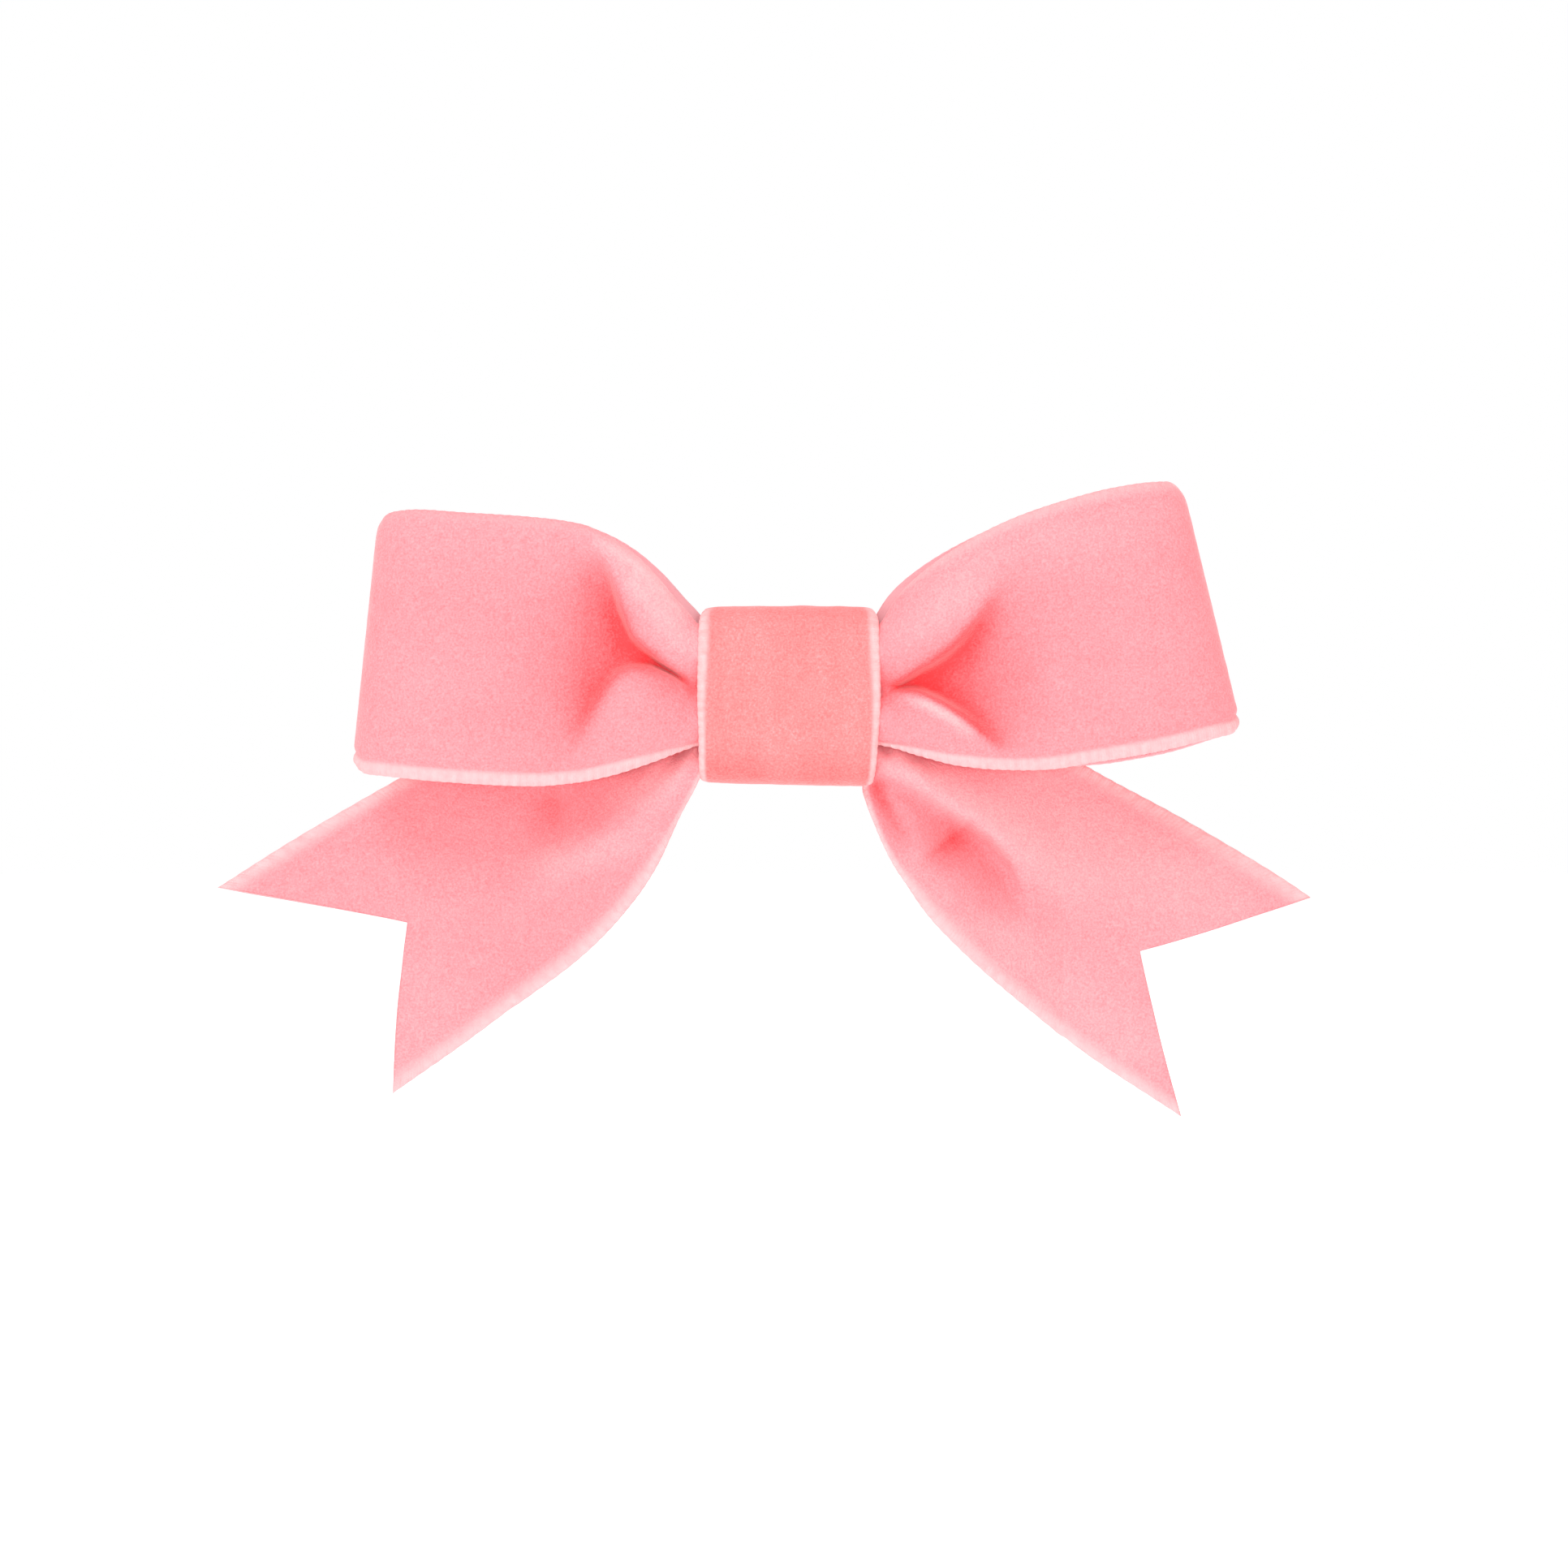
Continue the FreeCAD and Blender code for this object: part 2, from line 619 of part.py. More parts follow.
def make_tension_bar_half(label, side):
    """Half of the arched bar, from its crown to one end. The hinge-side half has the crown's round nose."""
    body = new_body(label)
    span, rise, half = S["bar_half_span"], S["bar_sagitta"], S["bar_half_thickness"]
    radius = (span * span + rise * rise) / (rise * 2)
    centre_y = -(S["bar_crown_depth"] + radius)

    def at(x, height):
        """A point of the bar near x, height above its middle line."""
        share = (radius + height) / radius
        return x * share, centre_y + root(radius * radius - x * x) * share

    outer, inner = radius + half, radius - half
    end = span * side
    tip = (end + half * side * cosine(S["tab_reach_angle"]), at(end, Size(0.0))[1])
    crown = Size(0.0) if side < 0 else half + S["seat_clearance"]
    if side < 0:
        outline = [
            (*at(end, half), -outer),
            (*at(crown, half), -half),
            (half, -S["bar_crown_depth"], -half),
            (*at(crown, -half), inner),
            at(end, -half),
            tip,
        ]
    else:
        outline = [
            (*at(crown, half), -outer),
            at(end, half),
            tip,
            (*at(end, -half), inner),
            at(crown, -half),
        ]
    pad(body, "XY", outline, S["bar_width"])
    return body


def round_rectangle(low_x, high_x, low_y, high_y, corner):
    return [
        (low_x + corner, low_y), (high_x - corner, low_y, corner),
        (high_x, low_y + corner), (high_x, high_y - corner, corner),
        (high_x - corner, high_y), (low_x + corner, high_y, corner),
        (low_x, high_y - corner), (low_x, low_y + corner, corner),
    ]


def common(label, first, second):
    shared = doc.addObject("Part::Common", label)
    shared.Base, shared.Tool = first, second
    doc.recompute()
    return shared


def make_loop(label, side, reach, slant, front):
    """One loop: a closed band of ribbon seen from above, cut to the loop's shape seen from the front."""
    band = new_body(label + "_band", keep=False)
    thick, radius, depth = S["ribbon_thickness"], S["fold_radius"], S["fold_depth"]
    start, neck, swell = S["waist_half_length"] / 2, S["loop_neck_reach"], S["swell_reach"]
    waist_back = S["waist_middle"] + S["ribbon_gap"]
    outer = [
        (start, -S["waist_front"]),
        (neck, -S["waist_front"]),
        (swell, -S["loop_front"]),
        (reach - radius, -(depth + radius), radius),
        (reach, -depth, radius),
        (reach - radius, radius - depth),
        (swell, -S["loop_back"]),
        (neck, -waist_back),
        (start, -waist_back),
    ]
    inner_radius = radius - thick
    inner = [
        (S["hollow_start"], -(S["loop_front"] + S["loop_back"]) / 2),
        (swell, thick - S["loop_front"]),
        (reach - radius, -(depth + inner_radius), inner_radius),
        (reach - thick, -depth, inner_radius),
        (reach - radius, inner_radius - depth),
        (swell, -(S["loop_back"] + thick)),
    ]
    if side < 0:
        outer, inner = [
            [(-as_size(p[0]), p[1], *[-r for r in p[2:]]) for p in wire] for wire in (outer, inner)
        ]
    sketch = new_sketch(band, "XY")
    draw_outline(sketch, outer)
    draw_outline(sketch, inner)
    strip = band.newObject("PartDesign::Pad", "pad")
    strip.Profile = sketch
    strip.SideType = "Symmetric"
    strip.Length = STRIP_PAD_LENGTH
    strip.UseCustomVector = True
    strip.Direction = FreeCAD.Vector(-side * slant.value, 0, 1)
    strip.AlongSketchNormal = True
    doc.recompute()
    shape = new_body(label + "_front", keep=False)
    pad(shape, "XZ", front, FRONT_PAD_LENGTH)
    return common(label, band, shape)


def waist_outline(grow, front, back):
    """The gathered waist seen along the clasp, grown by that much and cut off at its front or back."""
    middle, rear = -S["waist_middle"], -S["waist_back"]
    high, low = S["waist_half_height"], S["waist_back_half_height"]
    corner = S["waist_corner"]
    if not back:
        middle = middle - S["ribbon_gap"]
    upper = [(middle, high + grow)]
    if front:
        upper = [
            (-S["waist_front"] - grow, high - corner, -(corner + grow)),
            (corner - S["waist_front"], high + grow),
        ] + upper
    if back:
        upper = upper + [(rear + grow, low + grow)]
    lower = [(y, -z) for y, z, *_ in reversed(upper)]
    if front:
        lower[-2] = (*lower[-2], -(corner + grow))
    return upper + lower


def make_loop_ribbon():
    left = make_loop("left_loop", -1, S["left_reach"], S["left_slant"], LEFT_LOOP_FRONT)
    right = make_loop("right_loop", 1, S["right_reach"], S["right_slant"], RIGHT_LOOP_FRONT)
    waist = new_body("loop_waist", keep=False)
    pad(waist, "YZ", waist_outline(Size(0.0), True, False), S["waist_half_length"] * 2)
    ribbon = doc.addObject("Part::MultiFuse", "loop_ribbon")
    ribbon.Shapes = [left, right, waist]
    ribbon.Label = "loop_ribbon"
    nodes.append(ribbon)
    doc.recompute()
    return ribbon


def make_tail_ribbon():
    """The tail ribbon: one bent strip seen from above, cut to the tails' shape seen from the front."""
    strip = new_body("tail_strip", keep=False)
    thick, front, neck = S["ribbon_thickness"], -S["waist_middle"], S["tail_neck_reach"]
    swell, bend, reach = S["swell_reach"], S["tail_bend_reach"], S["tail_reach"]
    right_front = [
        (neck, front), (swell, -S["tail_front_neck"]), (bend, -S["tail_front_bend"]),
        (reach, -S["tail_front_end"]),
    ]
    right_back = [
        (reach, thick - S["tail_front_end"]), (bend, thick - S["tail_front_bend"]),
        (swell, thick - S["tail_front_neck"]), (neck, -S["waist_back"]),
    ]
    left = [(-x, y) for x, y in reversed(right_front + right_back)]
    pad(strip, "XY", right_front + right_back + left, STRIP_PAD_LENGTH)
    shape = new_body("tail_front", keep=False)
    pad(shape, "XZ", TAILS_FRONT, FRONT_PAD_LENGTH)
    tails = common("tails", strip, shape)
    room = new_body("tail_waist", keep=False)
    pad(room, "YZ", waist_outline(Size(0.0), False, True), S["waist_half_length"] * 2)
    ribbon = doc.addObject("Part::MultiFuse", "tail_ribbon")
    ribbon.Shapes = [tails, room]
    ribbon.Label = "tail_ribbon"
    doc.recompute()
    nodes.append(ribbon)
    return ribbon


def make_knot_band():
    """The ribbon round the waist and the base plate, seen along the clasp."""
    body = new_body("knot_band")
    thick, corner = S["band_thickness"], S["band_corner"]

    def ring(inset, turn):
        front, high = inset - S["band_front"], S["band_half_height"] - inset
        back, low = -(S["band_back"] + inset), S["band_back_half_height"] - inset
        shoulder = -(S["band_shoulder"] + inset / 2)
        return [
            (front, turn - high), (front, high - turn, -turn),
            (front + turn, high), (shoulder, high), (back, low),
            (back, -low), (shoulder, -high), (front + turn, -high, -turn),
        ]

    sketch = new_sketch(body, "YZ")
    draw_outline(sketch, ring(Size(0.0), corner))
    draw_outline(sketch, ring(thick, corner - thick))
    extrude(body, "Pad", sketch, S["band_half_width"] * 2)
    return body


def pipe_round(body, offset, path, start):
    """A closed loop of thread along a path in a plane across X, with its section at the path's start."""
    route = new_sketch(body, "YZ", offset)
    draw_outline(route, path)
    section = new_sketch(body, "XY", start[1])
    draw_circle(section, offset, start[0], S["thread_radius"])
    pipe = body.newObject("PartDesign::AdditivePipe", "thread")
    pipe.Profile = section
    pipe.Spine = (route, [f"Edge{i + 1}" for i in range(len(path))])
    pipe.Transition = "Round corner"
    doc.recompute()
    return pipe


def make_gathering_thread():
    """Thread wound round the waist of both ribbons to hold their gathers."""
    body = new_body("gathering_thread")
    off = S["thread_radius"] + S["thread_clearance"]
    path = waist_outline(off, True, True)
    first = -S["thread_pitch"] * (S["thread_wraps"] - 1) / 2
    wrap = pipe_round(body, first, path, (-S["waist_front"] - off, Size(0.0)))
    pattern = body.newObject("PartDesign::LinearPattern", "wraps")
    pattern.Originals = [wrap]
    axis = [f for f in body.Origin.OriginFeatures if f.Role == "X_Axis"][0]
    pattern.Direction = (axis, [""])
    bind(pattern, "Length", S["thread_pitch"] * (S["thread_wraps"] - 1))
    pattern.Occurrences = int(S["thread_wraps"].value)
    body.Tip = pattern
    doc.recompute()
    return body


def make_tack_stitches():
    """A stitch through each sewing hole and the tail ribbon, and back round the plate's lower edge."""
    body = new_body("tack_stitches")
    path = round_rectangle(-S["stitch_front"], -S["stitch_back"], -S["stitch_drop"], Size(0.0),
                           S["stitch_corner"])
    start = (-S["stitch_front"], -S["stitch_drop"] / 2)
    stitch = pipe_round(body, -S["sewing_hole_reach"], path, start)
    mirror(body, "YZ", [stitch])
    return body


def make_glue_pads():
    """Adhesive between the back of the tail ribbon and the front of the base plate."""
    body = new_body("glue_pads")
    thick = S["waist_back"] - S["glue_back"]
    middle = (S["waist_back"] + S["glue_back"]) / 2
    low, high, tall = S["glue_inner"], S["glue_outer"], S["glue_half_height"]
    block = pad(body, "XZ", [(low, -tall), (high, -tall), (high, tall), (low, tall)], thick, middle)
    mirror(body, "YZ", [block])
    return body


make_base_plate()
make_hinge_pin()
make_catch_base()
make_catch_rivet()
make_catch_prong("catch_prong_upper", 1)
make_catch_prong("catch_prong_lower", -1)
make_clasp_arm()
make_tension_bar_half("tension_bar_hinge_half", -1)
make_tension_bar_half("tension_bar_catch_half", 1)
make_loop_ribbon()
make_tail_ribbon()
make_knot_band()
make_gathering_thread()
make_tack_stitches()
make_glue_pads()
doc.recompute()

for thing in doc.Objects:
    if "Invalid" in thing.State or "Error" in thing.State:
        raise RuntimeError(f"{thing.Label} failed: {thing.State}")
for node in nodes:
    if node.Shape.isNull() or not node.Shape.isValid() or not node.Shape.Solids:
        raise RuntimeError(f"{node.Label} has no valid solid")

os.makedirs("parts", exist_ok=True)
for node in nodes:
    node.Shape.exportStep(f"parts/{node.Label}.step")
    print(f"{node.Label}: {len(node.Shape.Solids)} solids, {node.Shape.Volume:.2f} mm3")
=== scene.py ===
import math

import bpy
import numpy as np
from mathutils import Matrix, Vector


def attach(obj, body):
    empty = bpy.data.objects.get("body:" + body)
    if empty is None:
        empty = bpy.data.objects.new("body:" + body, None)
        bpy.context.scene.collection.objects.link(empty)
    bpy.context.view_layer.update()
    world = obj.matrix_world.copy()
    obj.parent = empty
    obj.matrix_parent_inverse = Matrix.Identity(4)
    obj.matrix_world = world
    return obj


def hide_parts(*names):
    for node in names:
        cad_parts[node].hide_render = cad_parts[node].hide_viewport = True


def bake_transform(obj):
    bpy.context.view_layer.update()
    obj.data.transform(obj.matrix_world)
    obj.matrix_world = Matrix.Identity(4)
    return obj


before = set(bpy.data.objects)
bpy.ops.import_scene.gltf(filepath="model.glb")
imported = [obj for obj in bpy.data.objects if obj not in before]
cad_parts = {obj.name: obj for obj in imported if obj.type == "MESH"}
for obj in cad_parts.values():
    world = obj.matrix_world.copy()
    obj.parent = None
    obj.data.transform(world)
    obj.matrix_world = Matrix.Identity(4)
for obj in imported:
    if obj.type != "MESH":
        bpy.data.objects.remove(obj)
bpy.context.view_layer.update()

# A velvet bow on a spring clasp. The bow's front faces -Y, X runs along the clasp and Z is up.
# Lengths are in millimetres until a mesh is made from them. Noise scales are per metre.

MM = 0.001
TINY = 1e-9
ROOT = "bow_and_plate"

RIBBON_WIDTH = 25.4
BAND_WIDTH = 17.5
THICKNESS = 0.9
NECK = 9.1  # distance from the middle at which the loops leave the knot
WAIST_DEPTH = -15.2  # of the loop ribbon's face under the knot

# A selvedge's small beads: their spacing, how far it wanders and over what length.
BEAD_PITCH = 0.95
BEAD_WANDER = 0.8
BEAD_DRIFT = 3.1
# Spacings of the woven threads that show.
SELVEDGE_RIB = 0.24
BACK_RIB = 0.36
BACK_WARP = 0.3

THREAD_RADIUS = 0.2
THREAD_LAY = 1.1
ASKEW = (1.0, 0.13, 0.07)  # a direction that no thread runs along


# ---------------------------------------------------------------- numbers

def monotone(x, xs, ys):
    """Smooth curve through (xs, ys) that never overshoots, read at x."""
    xs, ys = np.asarray(xs, float), np.asarray(ys, float)
    h = np.diff(xs)
    slope = np.diff(ys) / h
    m = np.zeros_like(ys)
    m[0], m[-1] = slope[0], slope[-1]
    for i in range(1, len(ys) - 1):
        if slope[i - 1] * slope[i] > 0:
            a, b = 2 * h[i] + h[i - 1], h[i] + 2 * h[i - 1]
            m[i] = (a + b) / (a / slope[i - 1] + b / slope[i])
    x = np.clip(x, xs[0], xs[-1])
    k = np.clip(np.searchsorted(xs, x) - 1, 0, len(h) - 1)
    t = (x - xs[k]) / h[k]
    return (
        (2 * t**3 - 3 * t**2 + 1) * ys[k]
        + (t**3 - 2 * t**2 + t) * h[k] * m[k]
        + (3 * t**2 - 2 * t**3) * ys[k + 1]
        + (t**3 - t**2) * h[k] * m[k + 1]
    )


def table(rows):
    """Columns of a table of stations as functions of its first column."""
    columns = list(zip(*rows))
    return [lambda x, c=c: monotone(x, columns[0], c) for c in columns[1:]]


def steps_of(points):
    """Distances between neighbouring points."""
    return np.linalg.norm(np.diff(points, axis=0), axis=1)


def along_of(points):
    """How far along its line each point is."""
    return np.concatenate([[0], np.cumsum(steps_of(points))])


def through(points, count, closed=False):
    """Points evenly spaced along a smooth curve through the given ones."""
    per_span = 40
    p = np.asarray(points, float)
    if closed:
        p = np.vstack([p[-1], p, p[0], p[1]])
    else:
        p = np.vstack([2 * p[0] - p[1], p, 2 * p[-1] - p[-2]])
    knots = np.concatenate([[0], np.cumsum(steps_of(p) ** 0.5)])
    dense = []
    for i in range(1, len(p) - 2):
        t0, t1, t2, t3 = knots[i - 1 : i + 3]
        t = np.linspace(t1, t2, per_span, endpoint=False)[:, None]
        a1 = (t1 - t) / (t1 - t0) * p[i - 1] + (t - t0) / (t1 - t0) * p[i]
        a2 = (t2 - t) / (t2 - t1) * p[i] + (t - t1) / (t2 - t1) * p[i + 1]
        a3 = (t3 - t) / (t3 - t2) * p[i + 1] + (t - t2) / (t3 - t2) * p[i + 2]
        b1 = (t2 - t) / (t2 - t0) * a1 + (t - t0) / (t2 - t0) * a2
        b2 = (t3 - t) / (t3 - t1) * a2 + (t - t1) / (t3 - t1) * a3
        dense.append((t2 - t) / (t2 - t1) * b1 + (t - t1) / (t2 - t1) * b2)
    dense.append(p[-2][None])
    return respace(np.vstack(dense), count)


def respace(line, count):
    """The same line with its points evenly spaced."""
    along = along_of(line)
    at = np.linspace(0, along[-1], count)
    return np.stack([np.interp(at, along, line[:, k]) for k in range(line.shape[1])], axis=1)


def soften(values, sigma, step):
    """Gaussian smoothing along the first axis, with the ends carried straight on."""
    reach = max(1, int(math.ceil(3 * sigma / step)))
    kernel = np.exp(-0.5 * (np.arange(-reach, reach + 1) * step / sigma) ** 2)
    kernel /= kernel.sum()
    first = 2 * values[0] - values[reach:0:-1]
    last = 2 * values[-1] - values[-2 : -reach - 2 : -1]
    padded = np.concatenate([first, values, last])
    smooth = [np.convolve(padded[:, k], kernel, "valid") for k in range(values.shape[1])]
    return np.stack(smooth, axis=1)


def smoothstep(low, high, x):
    """0 up to low, 1 from high on, and a smooth rise between."""
    t = np.clip((x - low) / (high - low), 0, 1)
    return t * t * (3 - 2 * t)


def waves(a, b, seed, sizes):
    """Gentle unevenness: a few crossed sine waves of each of the given wavelengths."""
    crossed = 4
    rng = np.random.default_rng(seed)
    total = np.zeros_like(a)
    for size in sizes:
        for _ in range(crossed):
            turn, phase = rng.uniform(0, 2 * math.pi, 2)
            way = a * math.cos(turn) + b * math.sin(turn)
            total += np.sin(way * 2 * math.pi / size + phase)
    return total / (crossed * len(sizes))


def stroke(x, z, points, heights, right, left):
    """A ridge (positive) or groove (negative) along a line in the front view.

    right and left are how far it spreads on either side of the line, walking along it.
    """
    p, h = np.asarray(points, float), np.asarray(heights, float)
    best = np.full(x.shape, np.inf)
    value = np.zeros(x.shape)
    for i in range(len(p) - 1):
        way = p[i + 1] - p[i]
        size = way @ way
        t = np.clip(((x - p[i, 0]) * way[0] + (z - p[i, 1]) * way[1]) / size, 0, 1)
        dx, dz = x - p[i, 0] - t * way[0], z - p[i, 1] - t * way[1]
        distance = np.hypot(dx, dz)
        side = way[0] * dz - way[1] * dx
        spread = np.where(side < 0, right, left)
        here = (h[i] + (h[i + 1] - h[i]) * t) * np.exp(-((distance / spread) ** 2))
        nearer = distance < best
        value = np.where(nearer, here, value)
        best = np.minimum(best, distance)
    return value


# ---------------------------------------------------------------- meshes

def make_object(name, points, faces, materials, face_materials=None, attributes=None):
    """A smooth-shaded piece from points in millimetres, with values on its points."""
    mesh = bpy.data.meshes.new(name)
    mesh.from_pydata((np.asarray(points) * MM).tolist(), [], faces)
    for material in materials:
        mesh.materials.append(material)
    if face_materials is not None:
        mesh.polygons.foreach_set("material_index", np.asarray(face_materials, np.int32))
    mesh.polygons.foreach_set("use_smooth", np.ones(len(mesh.polygons), bool))
    for key, values in (attributes or {}).items():
        stored = mesh.attributes.new(key, "FLOAT", "POINT")
        stored.data.foreach_set("value", np.asarray(values, np.float32))
    mesh.update()
    piece = bpy.data.objects.new(name, mesh)
    bpy.context.scene.collection.objects.link(piece)
    return piece


def grid_normals(p):
    n = np.cross(np.gradient(p, axis=0), np.gradient(p, axis=1))
    return n / np.maximum(np.linalg.norm(n, axis=2, keepdims=True), TINY)


def column_places(columns):
    """Places across a ribbon from -0.5 to 0.5, closer together at its selvedges."""
    crowding = 0.15
    t = np.linspace(-1, 1, columns)
    return 0.5 * (t + crowding * np.sin(math.pi * t))


# How far the face drops from the pile's tips, by place across a selvedge (0 at its rim, 1 where
# the full pile starts), as a share of the pile: on a corded selvedge, and where pile covers it.
CORDED = [(0, 1.1), (0.18, 0.55), (0.45, 0.4), (0.7, 0.55), (0.9, 0.8), (1.1, 0.35), (1.35, 0)]
COVERED = [(0, 1.1), (0.3, 0.45), (0.8, 0.12), (1.35, 0)]
# Points round the rim between face and back, how far it bulges, and how much its beads add.
RIM_PLACES = (0.2, 0.5, 0.8)
RIM_BULGE = 0.17
RIM_BEAD = 0.02


def ribbon(name, face, width, materials, outward, painted_shading, selvedge, bare, soft, bead,
           pile=0.3, pale=1.0):
    """A closed ribbon from the grid of its pile face (length, width, xyz).

    outward is +1 if the grid's own normal leaves the pile face, and -1 if it enters it.
    selvedge is a width for each row. bare is how free of pile the first and the last selvedge
    are, and soft is where across each of them the pile starts to thin out. bead and pile are
    heights, and pale is how pale a bare selvedge is.
    """
    rows, columns = face.shape[:2]
    n = grid_normals(face) * outward
    along = along_of(face[:, columns // 2])
    across = column_places(columns) * width
    here, there = np.meshgrid(along, across, indexing="ij")
    from_edge = (width / 2 - np.abs(there)) / selvedge[:, None]
    first, last = (np.ones((rows, 1)) * np.reshape(b, (-1, 1)) for b in bare)
    share = np.where(there < 0, first, last)
    firm = smoothstep(0.95, 1.0, share)
    edge = 1 - smoothstep(np.where(there < 0, *soft), 1.0, from_edge)
    corded, covered = (monotone(from_edge, *zip(*drops)) for drops in (CORDED, COVERED))
    beads = np.cos(2 * math.pi * along / BEAD_PITCH + BEAD_WANDER * np.sin(along / BEAD_DRIFT))
    beads = beads[:, None]
    drop = pile * (corded * firm + covered * (1 - firm)) - bead * edge * beads * firm
    fuzz = 0.035 * waves(here, there, 3, [1.3, 2.2, 3.7])
    front = face - n * (drop - fuzz)[..., None]
    back = face - n * (THICKNESS - 0.25 * edge)[..., None]
    rims = []
    for line_a, line_b, way in ((front[:, -1], back[:, -1], face[:, -1] - face[:, -2]),
                                (back[:, 0], front[:, 0], face[:, 0] - face[:, 1])):
        way = way / np.maximum(np.linalg.norm(way, axis=1, keepdims=True), TINY)
        bulge = way * (RIM_BULGE + RIM_BEAD * beads)
        rim = [line_a * (1 - t) + line_b * t + bulge * math.sin(math.pi * t) for t in RIM_PLACES]
        rims.append(np.stack(rim, axis=1))
    ring = np.concatenate([front, rims[0], back[:, ::-1], rims[1]], axis=1)
    size = ring.shape[1]
    last_rim = columns + len(RIM_PLACES) - 1
    last_back = last_rim + columns
    faces, which = [], []
    for i in range(rows - 1):
        for k in range(size):
            a, b = i * size + k, i * size + (k + 1) % size
            quad = (a, b, b + size, a + size)
            faces.append(quad if outward > 0 else quad[::-1])
            which.append(1 if last_rim <= k <= last_back else 0)
    for i, flip in ((0, outward < 0), (rows - 1, outward > 0)):
        base = i * size
        for k in range(columns - 1):
            other = last_back - k
            quad = (base + k, base + other, base + other - 1, base + k + 1)
            faces.append(quad if flip else quad[::-1])
            which.append(0)
        for fan in (range(columns - 1, last_rim + 2), (*range(last_back, size), 0)):
            tip = tuple(base + k for k in fan)
            faces.append(tip[::-1] if flip else tip)
            which.append(0)
    rim = np.ones(len(RIM_PLACES))
    ends = np.concatenate([across, rim * width / 2, across[::-1], -rim * width / 2])
    bareness = np.concatenate([edge * share, rim * last, edge[:, ::-1], rim * first], axis=1)
    still = np.zeros((rows, len(RIM_PLACES)))
    # The painted shading: full on the pile face, half on the back, none on the rims.
    folds = np.concatenate([painted_shading, still, 0.5 * painted_shading[:, ::-1], still], axis=1)
    attributes = {
        "along": np.repeat(along, size),
        "across": np.tile(ends, rows),
        "selvedge": pale * bareness.ravel(),
        "painted_shading": folds.ravel(),
    }
    return make_object(name, ring.reshape(-1, 3), faces, materials, which, attributes)


def section(low, high, depth_at, columns, sharpness):
    """One cross-section of a ribbon: z from low to high, with a depth at each height.

    Returns (height, depth), spaced along its own length as the columns are, and softened.
    """
    fine, even = 700, 240
    z = np.linspace(low, high, fine)
    line = respace(np.stack([z, depth_at(z)], axis=1), even)
    line = soften(line, sharpness, steps_of(line).sum() / (even - 1))
    at = (column_places(columns) + 0.5) * (even - 1)
    return np.stack([np.interp(at, np.arange(even), line[:, k]) for k in range(2)], axis=1)


# ---------------------------------------------------------------- loop ribbon

# Front outline of each loop: its top and bottom edges, (distance from the middle, height).
LEFT_TOP = [(0, 6.8), (8.5, 7.0), (9.05, 7.4), (9.5, 8.0), (10.5, 9.1), (12.9, 11.9), (15.3, 14.1),
            (17.7, 15.6), (20, 16.5), (24.8, 17.2), (32, 17.7), (36.7, 18.0), (39.0, 17.8),
            (39.8, 17.5), (40.3, 16.9)]
LEFT_BOTTOM = [(0, -5.2), (8.5, -5.0), (9.3, -5.2), (13.4, -6.65), (17.2, -7.8), (21, -8.5),
               (25, -8.75), (33.5, -8.35), (40.0, -7.7), (41.6, -7.5), (42.35, -7.1),
               (42.75, -6.6)]
RIGHT_TOP = [(0, 6.8), (8.5, 7.0), (9.0, 7.5), (9.4, 8.2), (10.1, 9.4), (12.5, 11.8), (17.3, 15.0),
             (22, 17.2), (26.8, 18.85), (31.6, 20.1), (35.5, 20.7), (37.3, 20.8), (38.1, 20.5),
             (38.65, 19.9)]
RIGHT_BOTTOM = [(0, -5.2), (8.5, -5.0), (9.3, -5.1), (12.5, -6.0), (16.5, -6.95), (20.4, -7.25),
                (25.2, -7.1), (29.2, -6.5), (36.3, -5.3), (42.4, -3.8), (43.6, -3.5), (44.2, -2.9)]
# Pleat of each front layer: distance from the middle, lower lip, upper lip, depth, and how
# rounded its floor is.
LEFT_PLEAT = [(0, 0.0, 1.2, 0.5, 1), (9.1, 0.2, 1.3, 0.9, 1), (10.4, 1.1, 2.0, 1.8, 1.1),
              (11.5, 1.9, 2.6, 3.0, 1.3), (12.6, 2.4, 3.3, 3.8, 1.5), (13.9, 2.8, 4.3, 4.2, 1.8),
              (15.3, 2.75, 5.6, 4.2, 2.2), (16.0, 2.5, 7.0, 4.1, 2.4), (16.7, 2.1, 8.8, 3.9, 2.6),
              (17.3, 1.5, 10.6, 3.7, 2.7), (17.9, 0.8, 12, 3.5, 2.7), (18.6, -0.2, 13.2, 3.2, 2.6),
              (19.4, -1.7, 14.0, 2.8, 2.5), (20.2, -3.2, 14.6, 2.2, 2.2),
              (21.2, -5.0, 15.0, 1.6, 2.0), (22.5, -6.4, 15.4, 1.1, 2.0), (25, -7, 15.8, 0.6, 2),
              (28, -7.3, 16, 0.3, 2), (32, -7.3, 16.3, 0.0, 2)]
RIGHT_PLEAT = [(0, 0.0, 1.2, 0.5, 1), (9.1, 0.2, 1.2, 0.8, 1), (10.4, 0.4, 1.2, 1.7, 1.1),
               (11.4, 0.5, 1.7, 3.3, 1.4), (12.6, 0.4, 2.5, 4.2, 1.8), (13.8, -0.1, 3.1, 4.4, 2.2),
               (15.2, -0.9, 4.0, 4.4, 2.6), (16.5, -1.8, 5.2, 4.2, 2.9),
               (17.5, -2.5, 6.3, 3.9, 3.0), (18.5, -3.3, 7.5, 3.5, 2.9),
               (19.6, -4.3, 9.0, 3.0, 2.7), (21, -5.2, 11, 2.4, 2.4), (22.5, -5.7, 12.6, 1.9, 2.2),
               (25, -5.9, 14.5, 1.2, 2), (29, -5.6, 16.3, 0.5, 2), (34, -4.8, 17.5, 0.0, 2)]
